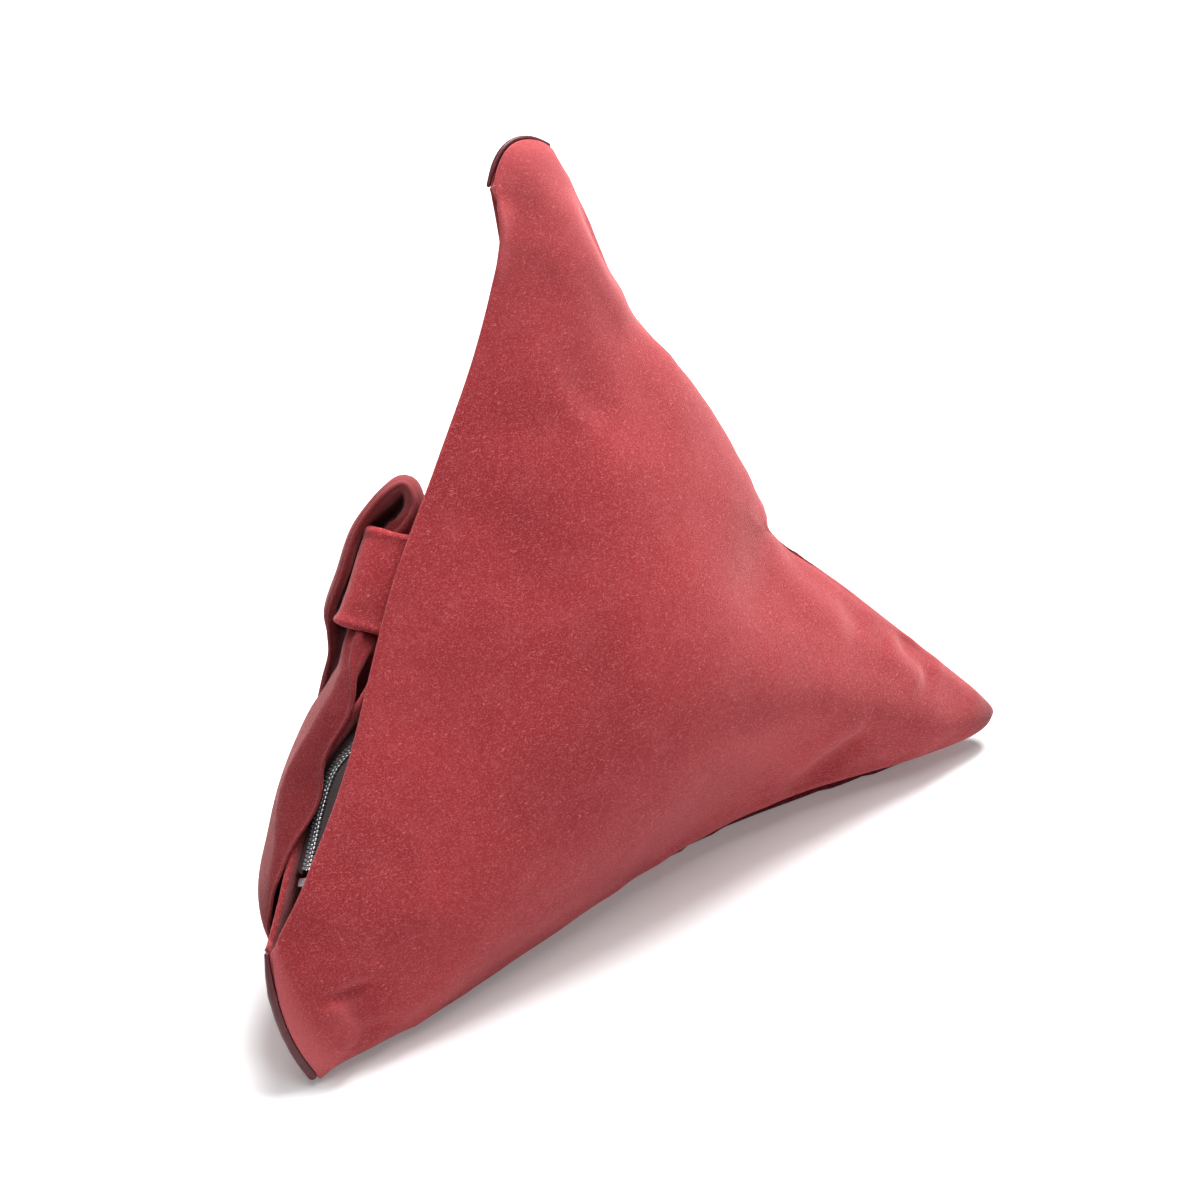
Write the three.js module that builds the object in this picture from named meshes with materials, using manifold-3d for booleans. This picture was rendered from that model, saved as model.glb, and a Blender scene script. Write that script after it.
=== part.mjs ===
// Triangular suede clutch: two lined panels, a zipped mouth, piped ends and a gathered hand sash.
// Millimetres, +Z up. Sizes are estimates.
import * as THREE from 'three';
import { mergeVertices } from 'three/addons/utils/BufferGeometryUtils.js';
import Module from 'manifold-3d';

const wasm = await Module();
wasm.setup();

// The standing bag: its mouth, sides, corner heights and lean
const mouthLength = 310;
const seamLength = 325;
const cornerHeight = 24;
const tipHeight = 13;
const leanDegrees = 16.2;
const tipReach = Math.sqrt(seamLength ** 2 - (mouthLength / 2) ** 2);

// Material and fits
const suedeThick = 2.2;
const seamGap = 0.3;
const seatGap = 0.25;
const moveGap = 0.35;

// Panel outline in the plane of the back panel, as shares of the mouth's length and the tip's reach
const mouthOutline = [
  [0.074, -0.07], [0.161, -0.056], [0.29, -0.0395], [0.484, -0.041],
  [0.629, -0.0235], [0.758, -0.0095], [0.871, -0.0125], [0.9355, -0.036],
];
const seamOutline = [
  [-0.0613, 0.0455], [-0.0387, 0.0718], [0.0258, 0.1926], [0.129, 0.35], [0.258, 0.539], [0.342, 0.69],
  [0.4226, 0.886], [0.4677, 0.98], [0.4968, 1.003], [0.516, 0.9874], [0.555, 0.868], [0.613, 0.672],
  [0.6516, 0.525], [0.687, 0.49], [0.787, 0.35], [0.861, 0.2], [0.945, 0.105], [0.997, 0.0385],
];
const tipCorner = 8;
const seamSwing = 0.1;
const lowerEndBulge = 4.4;
const upperEndBulge = 9.5;
const endReach = 0.16;

// Fullness: rise per millimetre from each edge, and the roundness of the edges
const edgeRound = 4;
const seamRound = 2.5;
const tipSpan = [0.46, 0.52];
const backRise = { mouth: 0.34, lowerEnd: 0.42, base: 0.6, tip: 0.5, ridge: 0.5, upperEnd: 0.42 };
const frontRise = { mouth: 1.12, lowerEnd: 0.6, base: 7, tip: 0.7, ridge: 1.15, upperEnd: 0.42 };
const settleSag = 18;
const settleReach = 70;
const settleDepth = [2, 26];
const settleFade = [0.04, 0.3];
const settleBack = 0.5;
const basePinch = 9;
const basePinchReach = 60;

// Mouth and zip; places along the mouth are shares of its length
const mouthHalfGap = 4.6;
const endHalfGap = 0.25;
const gapFade = { lowerOut: 6, lowerIn: 26, upperIn: 16, upperOut: 8 };
const lowerGap = { extra: 8.5, centre: 0.2516, reach: 0.0774 };
const frontDrop = {
  most: 10.5, reach: 45, from: [0.27, 0.43], to: [0.84, 0.985], mouthSteps: 200, seamSteps: 400, rounds: 8,
};
const chainTop = { along: 0.906, v: 11 };
const chainBend = { along: 0.342, v: 3 };
const chainLower = [
  [0.31, -4, -4.2], [0.277, -7.5, -7.8], [0.2355, -8.6, -8], [0.1935, -10.2, -4.8], [0.161, -12, -1.6],
];
const toothPitch = 4.4;
const toothReach = 2.2;
const toothOverlap = 0.9;
const toothThick = 2.4;
const toothShare = 0.3;
const toothSlope = 0.24;
const tapeThick = 0.7;
const tapeFlange = 8;
const tapeSeat = 0.6;
const stopLength = 3;
const stopProud = 0.4;
const stopInset = 0.6;
const lowerStopClear = 1.5;

// Lining
const liningThick = 0.6;
const liningSeat = 0.9;
const liningHem = 2;
const liningStep = 0.004;
const liningSmooth = 0.03;

// Slider and pull
const sliderStart = 0.845;
const sliderLength = 10;
const plateThick = 1.2;
const plateChamfer = 0.4;
const lipDrop = 0.85;
const lipThick = 0.8;
const bridgeWidth = 2;
const bridgeHeight = 3.4;
const bridgeBar = 0.9;
const bridgeLength = 7;
const bridgeSink = 0.4;
const bridgeCorner = { outside: 0.8, inside: 0.5 };
const pullLength = 22;
const pullWidth = 5.4;
const pullThick = 1.2;
const pullBar = 1.3;
const pullCorner = 1.6;
const pivotInset = 1.4;
const pivotRise = 1.25;

// Piped ends
const pipingRadius = 2.1;
const pipingSeat = 1.75;
const pipingStart = 0.02;
const pipingEnd = 0.94;

// Sash and keeper band, in a frame on the front face: across runs away from the mouth, lift runs out
const faceAngle = 47;
const faceBase = { v: -2, n: -15 };
const sashThick = 1.8;
const sashColumns = 12;
const sashRows = 45;
const sashSeat = sashThick / 2 + seatGap;
const bandCentre = 0.49 * mouthLength;
const bandHeight = 33;
const bandWall = 2;
const bandInner = { across: 26.5, lift: 13 };
const bandCorner = 4.2;
const bandAcross = 13;
const bandLift = seatGap + bandWall + bandInner.lift / 2;
const bandClear = 2.7;
const overBand = bandLift + bandInner.lift / 2 + bandWall + sashThick / 2 + bandClear;
const gatherSlack = { across: 4.5, lift: 2 };
const gatherWidth = bandInner.across - gatherSlack.across;
const gatherPleat = (bandInner.lift - sashThick) / 2 - gatherSlack.lift;
const sashStations = [
  // u, lift, across, width, crown, pleat
  [0.042 * mouthLength, sashSeat + 0.5, 14, 24, 0, 0],
  [0.077 * mouthLength, sashSeat + 1, 17, 34, 3, 0],
  [0.129 * mouthLength, sashSeat + 0.8, 21, 49, 10, 0],
  [0.194 * mouthLength, sashSeat + 0.2, 22, 55, 15, 0],
  [0.274 * mouthLength, sashSeat + 0.6, 20, 54, 16, 0.2],
  [0.348 * mouthLength, sashSeat + 2, 17, 43, 14.5, 0.8],
  [bandCentre - bandHeight * 0.78, bandLift - 0.6, bandAcross + 1, gatherWidth + 4, 3.5, gatherPleat * 0.7],
  [bandCentre - bandHeight * 0.44, bandLift, bandAcross, gatherWidth, 0, gatherPleat],
  [bandCentre, bandLift, bandAcross, gatherWidth, 0, gatherPleat],
  [bandCentre + bandHeight * 0.44, bandLift, bandAcross, gatherWidth, 0, gatherPleat],
  [bandCentre + bandHeight * 0.72, bandLift - 0.8, bandAcross, gatherWidth + 3, 0, gatherPleat * 0.85],
  [bandCentre + bandHeight * 0.93, bandLift + 1.2, bandAcross, gatherWidth + 5, -1, gatherPleat * 0.6],
  [bandCentre + bandHeight * 1.03, bandLift + 6, bandAcross, gatherWidth + 6, -2, 1.6],
  [bandCentre + bandHeight * 0.93, bandLift + 11, bandAcross, gatherWidth + 7, -2.5, 1.4],
  [bandCentre + bandHeight * 0.6, overBand + 1.4, bandAcross + 1, gatherWidth + 8, -2, 1.2],
  [bandCentre + bandHeight * 0.06, overBand, bandAcross + 3, gatherWidth + 9, -1, 0.8],
  [bandCentre - bandHeight * 0.5, overBand - 0.5, bandAcross + 9, gatherWidth + 9, 0, 0.5],
  [0.361 * mouthLength, overBand - 3, 36, 33, 0, 0.3],
  [0.297 * mouthLength, overBand - 5.5, 50, 32, 0, 0],
  [0.232 * mouthLength, overBand - 9, 60, 32, 0, 0],
  [0.174 * mouthLength, overBand - 12, 66, 30, 0, 0],
];

const panelRows = 30;
const panelColumns = 16;
const normalInset = { s: 0.014, mouth: 0.012, seam: 0.004 };
const normalShare = 0.2;
const normalReach = [2e-3, 0.02];
const tapeSpans = 36;
const liningRows = [5, 25];
const liningColumns = [3, 12];

// Axes of the back panel's plane
const baseRun = Math.sqrt(seamLength ** 2 - (tipHeight - cornerHeight) ** 2);
const baseLine = new THREE.Vector3(-baseRun, 0, tipHeight - cornerHeight).divideScalar(seamLength);
const lean = THREE.MathUtils.degToRad(leanDegrees);
const upLine = new THREE.Vector3(0, -Math.sin(lean), Math.cos(lean));
upLine.addScaledVector(baseLine, -upLine.dot(baseLine)).normalize();
const footShare = mouthLength / (2 * seamLength);
const axisU = baseLine.clone().multiplyScalar(footShare);
axisU.addScaledVector(upLine, Math.sqrt(1 - footShare ** 2));
const axisV = baseLine.clone().addScaledVector(axisU, -footShare).normalize();
const axisN = new THREE.Vector3().crossVectors(axisV, axisU).normalize();
const planeOrigin = new THREE.Vector3(0, 0, cornerHeight);

function place(u, v, n) {
  const point = planeOrigin.clone().addScaledVector(axisU, u);
  return point.addScaledVector(axisV, v).addScaledVector(axisN, n);
}

const toCurve = (list) => new THREE.SplineCurve(
  list.map(([u, v]) => new THREE.Vector2(u * mouthLength, v * tipReach)));
const mouthCurve = toCurve(mouthOutline);
const seamCurve = toCurve(seamOutline);
mouthCurve.arcLengthDivisions = 400;
seamCurve.arcLengthDivisions = 900;

function endBulge(s, x) {
  const side = s < 0.5 ? 0 : 1;
  const from = mouthCurve.getPointAt(side);
  const to = seamCurve.getPointAt(side);
  const out = new THREE.Vector2(to.y - from.y, from.x - to.x).normalize().multiplyScalar(side ? 1 : -1);
  const near = Math.max(0, 1 - (side ? 1 - s : s) / endReach);
  return out.multiplyScalar((side ? upperEndBulge : lowerEndBulge) * near * near * 4 * x * (1 - x));
}

// A point of the outline's inside: s up the bag, x from the mouth to the far seam
function inPlane(s, x) {
  const from = mouthCurve.getPointAt(s);
  const onSeam = THREE.MathUtils.clamp(s + seamSwing * Math.sin(2 * Math.PI * s), 0, 1);
  const to = seamCurve.getPointAt(onSeam);
  return from.lerp(to, x).add(endBulge(s, x));
}

// The outline as short steps, each with its rise on both sides
const steps = [];
function addSteps(pointAt, count, riseAt) {
  for (let i = 0; i < count; i += 1) {
    const at = (i + 0.5) / count;
    const point = pointAt(at);
    const run = pointAt((i + 1) / count).distanceTo(pointAt(i / count));
    const name = riseAt(at);
    const seam = name === 'base' || name === 'tip' || name === 'ridge';
    const rise = { back: backRise[name] ** 3, front: frontRise[name] ** 3 };
    steps.push({ u: point.x, v: point.y, run, seam, ...rise });
  }
}
const seamName = (t) => (t < tipSpan[0] ? 'base' : t < tipSpan[1] ? 'tip' : 'ridge');
const endSteps = 50;
addSteps((t) => mouthCurve.getPointAt(t), Math.ceil(mouthCurve.getLength()), () => 'mouth');
addSteps((t) => inPlane(0, t), endSteps, () => 'lowerEnd');
addSteps((t) => inPlane(1, t), endSteps, () => 'upperEnd');
addSteps((t) => seamCurve.getPointAt(t), Math.ceil(seamCurve.getLength()), seamName);

// Half the space between the panels' edges along the mouth
const mouthStart = mouthCurve.getPointAt(0).x;
const mouthEnd = mouthCurve.getPointAt(1).x;
function gapHalf(u, front) {
  const { lowerOut, lowerIn, upperIn, upperOut } = gapFade;
  const opening = THREE.MathUtils.smoothstep(u, mouthStart - lowerOut, mouthStart + lowerIn);
  const closing = THREE.MathUtils.smoothstep(u, mouthEnd - upperIn, mouthEnd + upperOut);
  const from = (u / mouthLength - lowerGap.centre) / lowerGap.reach;
  const extra = front ? lowerGap.extra * Math.exp(-from * from) : 0;
  return endHalfGap + (mouthHalfGap - endHalfGap + extra) * opening * (1 - closing);
}

// The front's mouth edge sits lower than the back's over the upper part
const mouthPoints = mouthCurve.getSpacedPoints(frontDrop.mouthSteps);
const seamPoints = seamCurve.getSpacedPoints(frontDrop.seamSteps);
function lineAt(points, u) {
  const next = points.findIndex((point) => point.x > u);
  if (next === 0) return points[0].y;
  if (next < 0) return points[points.length - 1].y;
  const [a, b] = [points[next - 1], points[next]];
  return a.y + ((b.y - a.y) * (u - a.x)) / (b.x - a.x);
}
function lowering(u, v) {
  const share = u / mouthLength;
  const starts = THREE.MathUtils.smoothstep(share, frontDrop.from[0], frontDrop.from[1]);
  const stops = THREE.MathUtils.smoothstep(share, frontDrop.to[0], frontDrop.to[1]);
  const edge = lineAt(mouthPoints, u);
  const depth = Math.max(0, v - edge);
  const toSeam = Math.min(1, depth / Math.max(lineAt(seamPoints, u) - edge, 1));
  return frontDrop.most * starts * (1 - stops) * Math.exp(-depth / frontDrop.reach) * (1 - toSeam * toSeam);
}
function beforeLowering(u, v) {
  let from = v;
  for (let i = 0; i < frontDrop.rounds; i += 1) from = v - lowering(u, from);
  return from;
}

// Height of the outer face above the seam plane
function height(u, v, front) {
  return heightOver(u, front ? beforeLowering(u, v) : v, front, false);
}
function heightOver(u, v, front, onEdge) {
  let all = 0;
  let seam = 0;
  for (const step of steps) {
    const square = (step.u - u) ** 2 + (step.v - v) ** 2 + 1e-6;
    const share = step.run / (square * square * (front ? step.front : step.back));
    all += share;
    if (step.seam) seam += share;
  }
  const rise = onEdge ? 0 : Math.cbrt(Math.PI / 2 / all);
  const fromSeam = Math.cbrt(Math.PI / 2 / seam);
  const open = (suedeThick + gapHalf(u, front)) ** 2 * fromSeam / (fromSeam + seamRound);
  return Math.sqrt(rise * rise + 2 * edgeRound * rise + open);
}

// The base seam, between the lower end and the far tip
const baseFrom = seamCurve.getPoint(0);
const baseAlong = seamCurve.points[tipCorner].clone().sub(baseFrom);
function onBase(u, v) {
  const from = new THREE.Vector2(u, v).sub(baseFrom);
  const along = from.dot(baseAlong) / baseAlong.lengthSq();
  return { along, off: from.cross(baseAlong) / baseAlong.length() };
}
function pinch(u, v) {
  const { along, off } = onBase(u, v);
  if (along <= 0 || along >= 1) return 0;
  return -basePinch * Math.sin(Math.PI * along) ** 2 * Math.exp(-((off / basePinchReach) ** 2));
}

const sign = (front) => (front ? -1 : 1);
function facePoint(s, x, front) {
  const point = inPlane(s, x);
  const onEdge = s === 0 || s === 1 || x === 0;
  const deep = heightOver(point.x, point.y, front, onEdge);
  if (front) point.y += lowering(point.x, point.y);
  const onFace = place(point.x, point.y, sign(front) * (seamGap / 2 + deep) + pinch(point.x, point.y));
  if (front) settle(onFace, deep, onBase(point.x, point.y).along);
  return onFace;
}

// The filling sinks to a flat base on the floor, away from the seam and the lower end
function settle(point, deep, along) {
  const full = THREE.MathUtils.smoothstep(deep, settleDepth[0], settleDepth[1]);
  const away = THREE.MathUtils.smoothstep(along, settleFade[0], settleFade[1]);
  point.z -= settleSag * full * away * Math.max(0, 1 - point.z / settleReach);
  point.addScaledVector(axisN, Math.min(Math.max(0, -point.z / axisN.z), deep * settleBack));
  point.z = Math.max(point.z, 0);
}

// The face's outward normal, taken over a shorter reach near the edges
function faceNormal(s, x, front) {
  const nearS = THREE.MathUtils.clamp(s, normalInset.s, 1 - normalInset.s);
  const nearX = THREE.MathUtils.clamp(x, normalInset.mouth, 1 - normalInset.seam);
  const toEdge = Math.min(nearS, 1 - nearS, nearX, 1 - nearX);
  const e = THREE.MathUtils.clamp(normalShare * toEdge, normalReach[0], normalReach[1]);
  const across = facePoint(nearS, nearX + e, front).sub(facePoint(nearS, nearX - e, front));
  const upwards = facePoint(nearS + e, nearX, front).sub(facePoint(nearS - e, nearX, front));
  return new THREE.Vector3().crossVectors(across, upwards).normalize().multiplyScalar(sign(front));
}

// A closed body between two grids of points
function shell(outer, inner) {
  const rows = outer.length;
  const columns = outer[0].length;
  const points = [...outer.flat(), ...inner.flat()];
  const index = [];
  const at = (layer, i, j) => layer * rows * columns + i * columns + j;
  const quad = (a, b, c, d) => index.push(a, b, c, a, c, d);
  for (let i = 0; i + 1 < rows; i += 1) {
    for (let j = 0; j + 1 < columns; j += 1) {
      quad(at(0, i, j), at(0, i, j + 1), at(0, i + 1, j + 1), at(0, i + 1, j));
      quad(at(1, i, j), at(1, i + 1, j), at(1, i + 1, j + 1), at(1, i, j + 1));
    }
    const last = columns - 1;
    quad(at(0, i, 0), at(0, i + 1, 0), at(1, i + 1, 0), at(1, i, 0));
    quad(at(0, i, last), at(1, i, last), at(1, i + 1, last), at(0, i + 1, last));
  }
  for (let j = 0; j + 1 < columns; j += 1) {
    const last = rows - 1;
    quad(at(0, 0, j), at(1, 0, j), at(1, 0, j + 1), at(0, 0, j + 1));
    quad(at(0, last, j), at(0, last, j + 1), at(1, last, j + 1), at(1, last, j));
  }
  const geometry = new THREE.BufferGeometry().setFromPoints(points);
  geometry.setIndex(index);
  return outward(geometry);
}

// Turns a closed geometry inside out if its faces point in
function outward(geometry) {
  const position = geometry.getAttribute('position');
  const index = geometry.getIndex();
  const [a, b, c] = [new THREE.Vector3(), new THREE.Vector3(), new THREE.Vector3()];
  let volume = 0;
  for (let i = 0; i < index.count; i += 3) {
    a.fromBufferAttribute(position, index.getX(i));
    b.fromBufferAttribute(position, index.getX(i + 1));
    c.fromBufferAttribute(position, index.getX(i + 2));
    volume += a.dot(b.cross(c));
  }
  if (volume < 0) {
    for (let i = 0; i < index.count; i += 3) {
      const keep = index.getX(i);
      index.setX(i, index.getX(i + 1));
      index.setX(i + 1, keep);
    }
  }
  geometry.computeVertexNormals();
  return geometry;
}

const panelS = (i) => i / panelRows;
const panelX = (j) => (1 - Math.cos((Math.PI * j) / panelColumns)) / 2;

// Keeps a point of the inner face on its own side of the seam and above the base
function keepInside(point, shift, front) {
  const clear = sign(front) * (point.clone().sub(planeOrigin).dot(axisN) - shift);
  point.addScaledVector(axisN, sign(front) * Math.max(0, seamGap / 2 - clear));
  return point.setZ(Math.max(point.z, suedeThick));
}

function seamInward(s) {
  const e = 1e-3;
  const along = inPlane(Math.min(s + e, 1), 1).sub(inPlane(Math.max(s - e, 0), 1)).normalize();
  return axisU.clone().multiplyScalar(along.y).addScaledVector(axisV, -along.x);
}

function panel(front) {
  const outer = [];
  const inner = [];
  for (let i = 0; i <= panelRows; i += 1) {
    const s = panelS(i);
    const outRow = [];
    const inRow = [];
    for (let j = 0; j <= panelColumns; j += 1) {
      const x = panelX(j);
      const point = inPlane(s, x);
      const seam = j === panelColumns;
      const shift = pinch(point.x, point.y);
      const atSeam = place(point.x, point.y, sign(front) * (seamGap / 2) + shift);
      const onFace = seam ? atSeam : facePoint(s, x, front);
      const inward = seam ? seamInward(s) : faceNormal(s, x, front).negate();
      const under = onFace.clone().addScaledVector(inward, suedeThick);
      outRow.push(onFace.setZ(Math.max(onFace.z, 0)));
      inRow.push(keepInside(under, shift, front));
    }
    outer.push(outRow);
    inner.push(inRow);
  }
  return shell(outer, inner);
}

const materials = {
  suede: new THREE.MeshStandardMaterial({ color: 0xb0434a, roughness: 0.95 }),
  piping: new THREE.MeshStandardMaterial({ color: 0x5a2028, roughness: 0.35 }),
  tape: new THREE.MeshStandardMaterial({ color: 0x241619, roughness: 0.9 }),
  lining: new THREE.MeshStandardMaterial({ color: 0x3a1d22, roughness: 0.8 }),
  metal: new THREE.MeshStandardMaterial({ color: 0xb4b6b8, roughness: 0.3, metalness: 1 }),
};
const group = new THREE.Group();
group.name = 'clutch_bag';
function add(name, geometry, material, parent = group) {
  const mesh = new THREE.Mesh(geometry, materials[material]);
  mesh.name = name;
  parent.add(mesh);
  return mesh;
}

add('back_panel', panel(false), 'suede');
add('front_panel', panel(true), 'suede');

// Zip chain: straight where the slider runs, then out to the open lower part of the mouth
const chainPoints = [];
const straightSpans = 7;
for (let i = 0; i <= straightSpans; i += 1) {
  const share = i / straightSpans;
  const along = THREE.MathUtils.lerp(chainTop.along, chainBend.along, share);
  const v = THREE.MathUtils.lerp(chainTop.v, chainBend.v, share);
  chainPoints.push(new THREE.Vector3(along * mouthLength, v, 0));
}
for (const [along, v, n] of chainLower) chainPoints.push(new THREE.Vector3(along * mouthLength, v, n));
const chain = new THREE.CatmullRomCurve3(chainPoints, false, 'centripetal');
chain.arcLengthDivisions = 600;
const chainLength = chain.getLength();
const chainAt = (along) => chain.getPointAt(THREE.MathUtils.clamp(along / chainLength, 0, 1));

function teeth(front) {
  const top = [];
  const bottom = [];
  const half = (toothPitch * toothShare) / 2;
  const ramp = toothSlope / 2;
  const row = (along, reach) => {
    const centre = chainAt(along);
    const tip = centre.z + sign(front) * reach;
    const root = centre.z + sign(front) * toothReach;
    const pair = (v) => [place(centre.x, v, tip), place(centre.x, v, root)];
    top.push(pair(centre.y - toothThick / 2));
    bottom.push(pair(centre.y + toothThick / 2));
  };
  const notch = toothOverlap + moveGap;
  const count = Math.floor(chainLength / toothPitch);
  row(0, notch);
  for (let k = 0; k < count; k += 1) {
    const middle = (k + (front ? 0.75 : 0.25)) * toothPitch;
    row(middle - half - ramp, notch);
    row(middle - half + ramp, -toothOverlap);
    row(middle + half - ramp, -toothOverlap);
    row(middle + half + ramp, notch);
  }
  row(chainLength, notch);
  return shell(top, bottom);
}
add('zip_teeth_back', teeth(false), 'metal');
add('zip_teeth_front', teeth(true), 'metal');

// Where a panel's inner face lies, for what is sewn to it
function innerFace(u, v, front) {
  const e = 0.05;
  const across = (height(u, v + e, front) - height(u, v - e, front)) / (2 * e);
  const upwards = (height(u + e, v, front) - height(u - e, v, front)) / (2 * e);
  const inward = suedeThick * Math.hypot(1, across, upwards);
  return sign(front) * (seamGap / 2 + height(u, v, front) - inward) + pinch(u, v);
}

function tape(front) {
  const top = [];
  const bottom = [];
  for (let i = 0; i <= tapeSpans; i += 1) {
    const centre = chainAt((chainLength * i) / tapeSpans);
    const [u, v, n] = [centre.x, centre.y, centre.z];
    const half = tapeThick / 2;
    const start = n + sign(front) * (toothReach + tapeSeat);
    const seat = (depth) => innerFace(u, v + depth, front) - sign(front) * tapeSeat;
    const depths = [-half, tapeFlange / 2, tapeFlange];
    top.push([place(u, v - half, start), ...depths.map((d) => place(u, v + d, seat(d)))]);
    const lowDepths = [half, ...depths.slice(1)];
    const under = lowDepths.map((d) => place(u, v + d, seat(d) - sign(front) * tapeThick));
    bottom.push([place(u, v + half, start), ...under]);
  }
  return shell(top, bottom);
}
add('zip_tape_back', tape(false), 'tape');
add('zip_tape_front', tape(true), 'tape');

// Lining: a thin layer inside each panel, from just below the tape
const chainDepth = (u) => {
  const share = THREE.MathUtils.clamp((chainTop.along * mouthLength - u) / chainLength, 0, 1);
  return Math.max(chainAt(share * chainLength).y, 0) + tapeFlange + liningHem;
};
function lining(front) {
  const outer = [];
  const inner = [];
  for (let i = liningRows[0]; i <= liningRows[1]; i += 1) {
    const s = panelS(i);
    const from = inPlane(s, 0);
    const start = (chainDepth(from.x) - from.y) / from.distanceTo(inPlane(s, 1));
    const outRow = [];
    const inRow = [];
    for (let j = liningColumns[0]; j <= liningColumns[1]; j += 1) {
      const x = Math.max(panelX(j), start + liningStep * (j - liningColumns[0]));
      const onFace = facePoint(s, x, front);
      const inward = new THREE.Vector3();
      for (const e of [-liningSmooth, 0, liningSmooth]) inward.sub(faceNormal(s, x + e, front));
      inward.normalize();
      const layer = (deep) => {
        const at = onFace.clone().addScaledVector(inward, deep);
        return at.addScaledVector(axisN, Math.max(0, deep - at.z) / axisN.z);
      };
      outRow.push(layer(suedeThick + liningSeat));
      inRow.push(layer(suedeThick + liningSeat + liningThick));
    }
    outer.push(outRow);
    inner.push(inRow);
  }
  return shell(outer, inner);
}
add('back_lining', lining(false), 'lining');
add('front_lining', lining(true), 'lining');

// A frame on the chain: x up the chain, z out of the mouth
function chainFrame(name, along) {
  const centre = chainAt(along);
  const step = chainAt(along + 0.5).sub(chainAt(along - 0.5)).multiplyScalar(-1).normalize();
  const x = place(step.x, step.y, step.z).sub(planeOrigin);
  const z = axisV.clone().multiplyScalar(-1);
  z.addScaledVector(x, -z.dot(x)).normalize();
  const y = new THREE.Vector3().crossVectors(z, x);
  const frame = new THREE.Group();
  frame.name = name;
  frame.quaternion.setFromRotationMatrix(new THREE.Matrix4().makeBasis(x, y, z));
  frame.position.copy(place(centre.x, centre.y, centre.z));
  group.add(frame);
  return frame;
}

const lowerStop = chainFrame('lower_stop_frame', chainLength - stopInset);
const stopBlock = new THREE.BoxGeometry(stopLength, 2 * toothReach, toothThick + stopProud);
const lowerStopMesh = add('zip_lower_stop', stopBlock, 'metal', lowerStop);
lowerStopMesh.position.x = -(stopLength / 2 + lowerStopClear + seatGap);
const upperStop = chainFrame('upper_stop_frame', stopInset);
for (const side of [1, -1]) {
  const block = new THREE.BoxGeometry(stopLength, toothReach - moveGap, toothThick + stopProud);
  const mesh = add(side > 0 ? 'zip_upper_stop_front' : 'zip_upper_stop_back', block, 'metal', upperStop);
  mesh.position.set(stopLength / 2 + stopInset + seatGap, (side * (toothReach + moveGap)) / 2, 0);
}

// Joins closed geometries into one body
function join(list) {
  const solids = list.map((geometry) => {
    const plain = new THREE.BufferGeometry();
    plain.setAttribute('position', geometry.getAttribute('position'));
    if (geometry.getIndex()) plain.setIndex(geometry.getIndex());
    const merged = mergeVertices(plain, 1e-4);
    return new wasm.Manifold(new wasm.Mesh({
      numProp: 3,
      vertProperties: Float32Array.from(merged.getAttribute('position').array),
      triVerts: Uint32Array.from(merged.getIndex().array),
    }));
  });
  const mesh = solids.reduce((whole, solid) => whole.add(solid)).getMesh();
  const geometry = new THREE.BufferGeometry();
  geometry.setAttribute('position', new THREE.BufferAttribute(mesh.vertProperties, 3));
  geometry.setIndex(new THREE.BufferAttribute(mesh.triVerts, 1));
  geometry.computeVertexNormals();
  return geometry;
}

function outline(list) {
  return new THREE.Shape(list.map(([x, y]) => new THREE.Vector2(x, y)));
}

function rounded(width, depth, radius) {
  const [w, d] = [width / 2, depth / 2];
  const shape = new THREE.Shape();
  shape.moveTo(-w + radius, -d);
  shape.lineTo(w - radius, -d);
  shape.absarc(w - radius, -d + radius, radius, -Math.PI / 2, 0);
  shape.lineTo(w, d - radius);
  shape.absarc(w - radius, d - radius, radius, 0, Math.PI / 2);
  shape.lineTo(-w + radius, d);
  shape.absarc(-w + radius, d - radius, radius, Math.PI / 2, Math.PI);
  shape.lineTo(-w, -d + radius);
  shape.absarc(-w + radius, -d + radius, radius, Math.PI, 1.5 * Math.PI);
  return shape;
}

// Slider: a plate with lips over the chain and a bridge for the pull
const chainSlope = (chainTop.v - chainBend.v) / ((chainTop.along - chainBend.along) * mouthLength);
const sliderAlong = (chainTop.along - sliderStart) * mouthLength * Math.hypot(1, chainSlope);
const sliderFrame = chainFrame('slider_frame', sliderAlong);
const plateLow = toothThick / 2 + moveGap;
const plateTop = plateLow + plateThick;
const lipInside = toothReach + moveGap;
const lipOutside = lipInside + lipThick;
const lipLow = plateLow - lipDrop;
const plateShape = outline([
  [-lipOutside, lipLow], [-lipInside, lipLow], [-lipInside, plateLow], [lipInside, plateLow],
  [lipInside, lipLow], [lipOutside, lipLow],
  [lipOutside, plateTop - plateChamfer], [lipOutside - plateChamfer, plateTop],
  [-lipOutside + plateChamfer, plateTop], [-lipOutside, plateTop - plateChamfer],
]);
const plate = new THREE.ExtrudeGeometry(plateShape, { depth: sliderLength, bevelEnabled: false });
plate.applyMatrix4(new THREE.Matrix4().makeBasis(
  new THREE.Vector3(0, 1, 0), new THREE.Vector3(0, 0, 1), new THREE.Vector3(1, 0, 0)));
plate.translate(-sliderLength / 2, 0, 0);
const archShape = rounded(bridgeLength, bridgeHeight + bridgeSink, bridgeCorner.outside);
const archHole = rounded(bridgeLength - 2 * bridgeBar, bridgeHeight - bridgeBar, bridgeCorner.inside);
const archHoleShift = new THREE.Vector2(0, -(bridgeBar - bridgeSink) / 2);
archShape.holes.push(new THREE.Path(archHole.getPoints(4).map((p) => p.clone().add(archHoleShift))));
const archCut = { depth: bridgeWidth, bevelEnabled: false, curveSegments: 4 };
const arch = new THREE.ExtrudeGeometry(archShape, archCut);
arch.rotateX(Math.PI / 2);
arch.translate(0, bridgeWidth / 2, plateTop + (bridgeHeight - bridgeSink) / 2);
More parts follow.
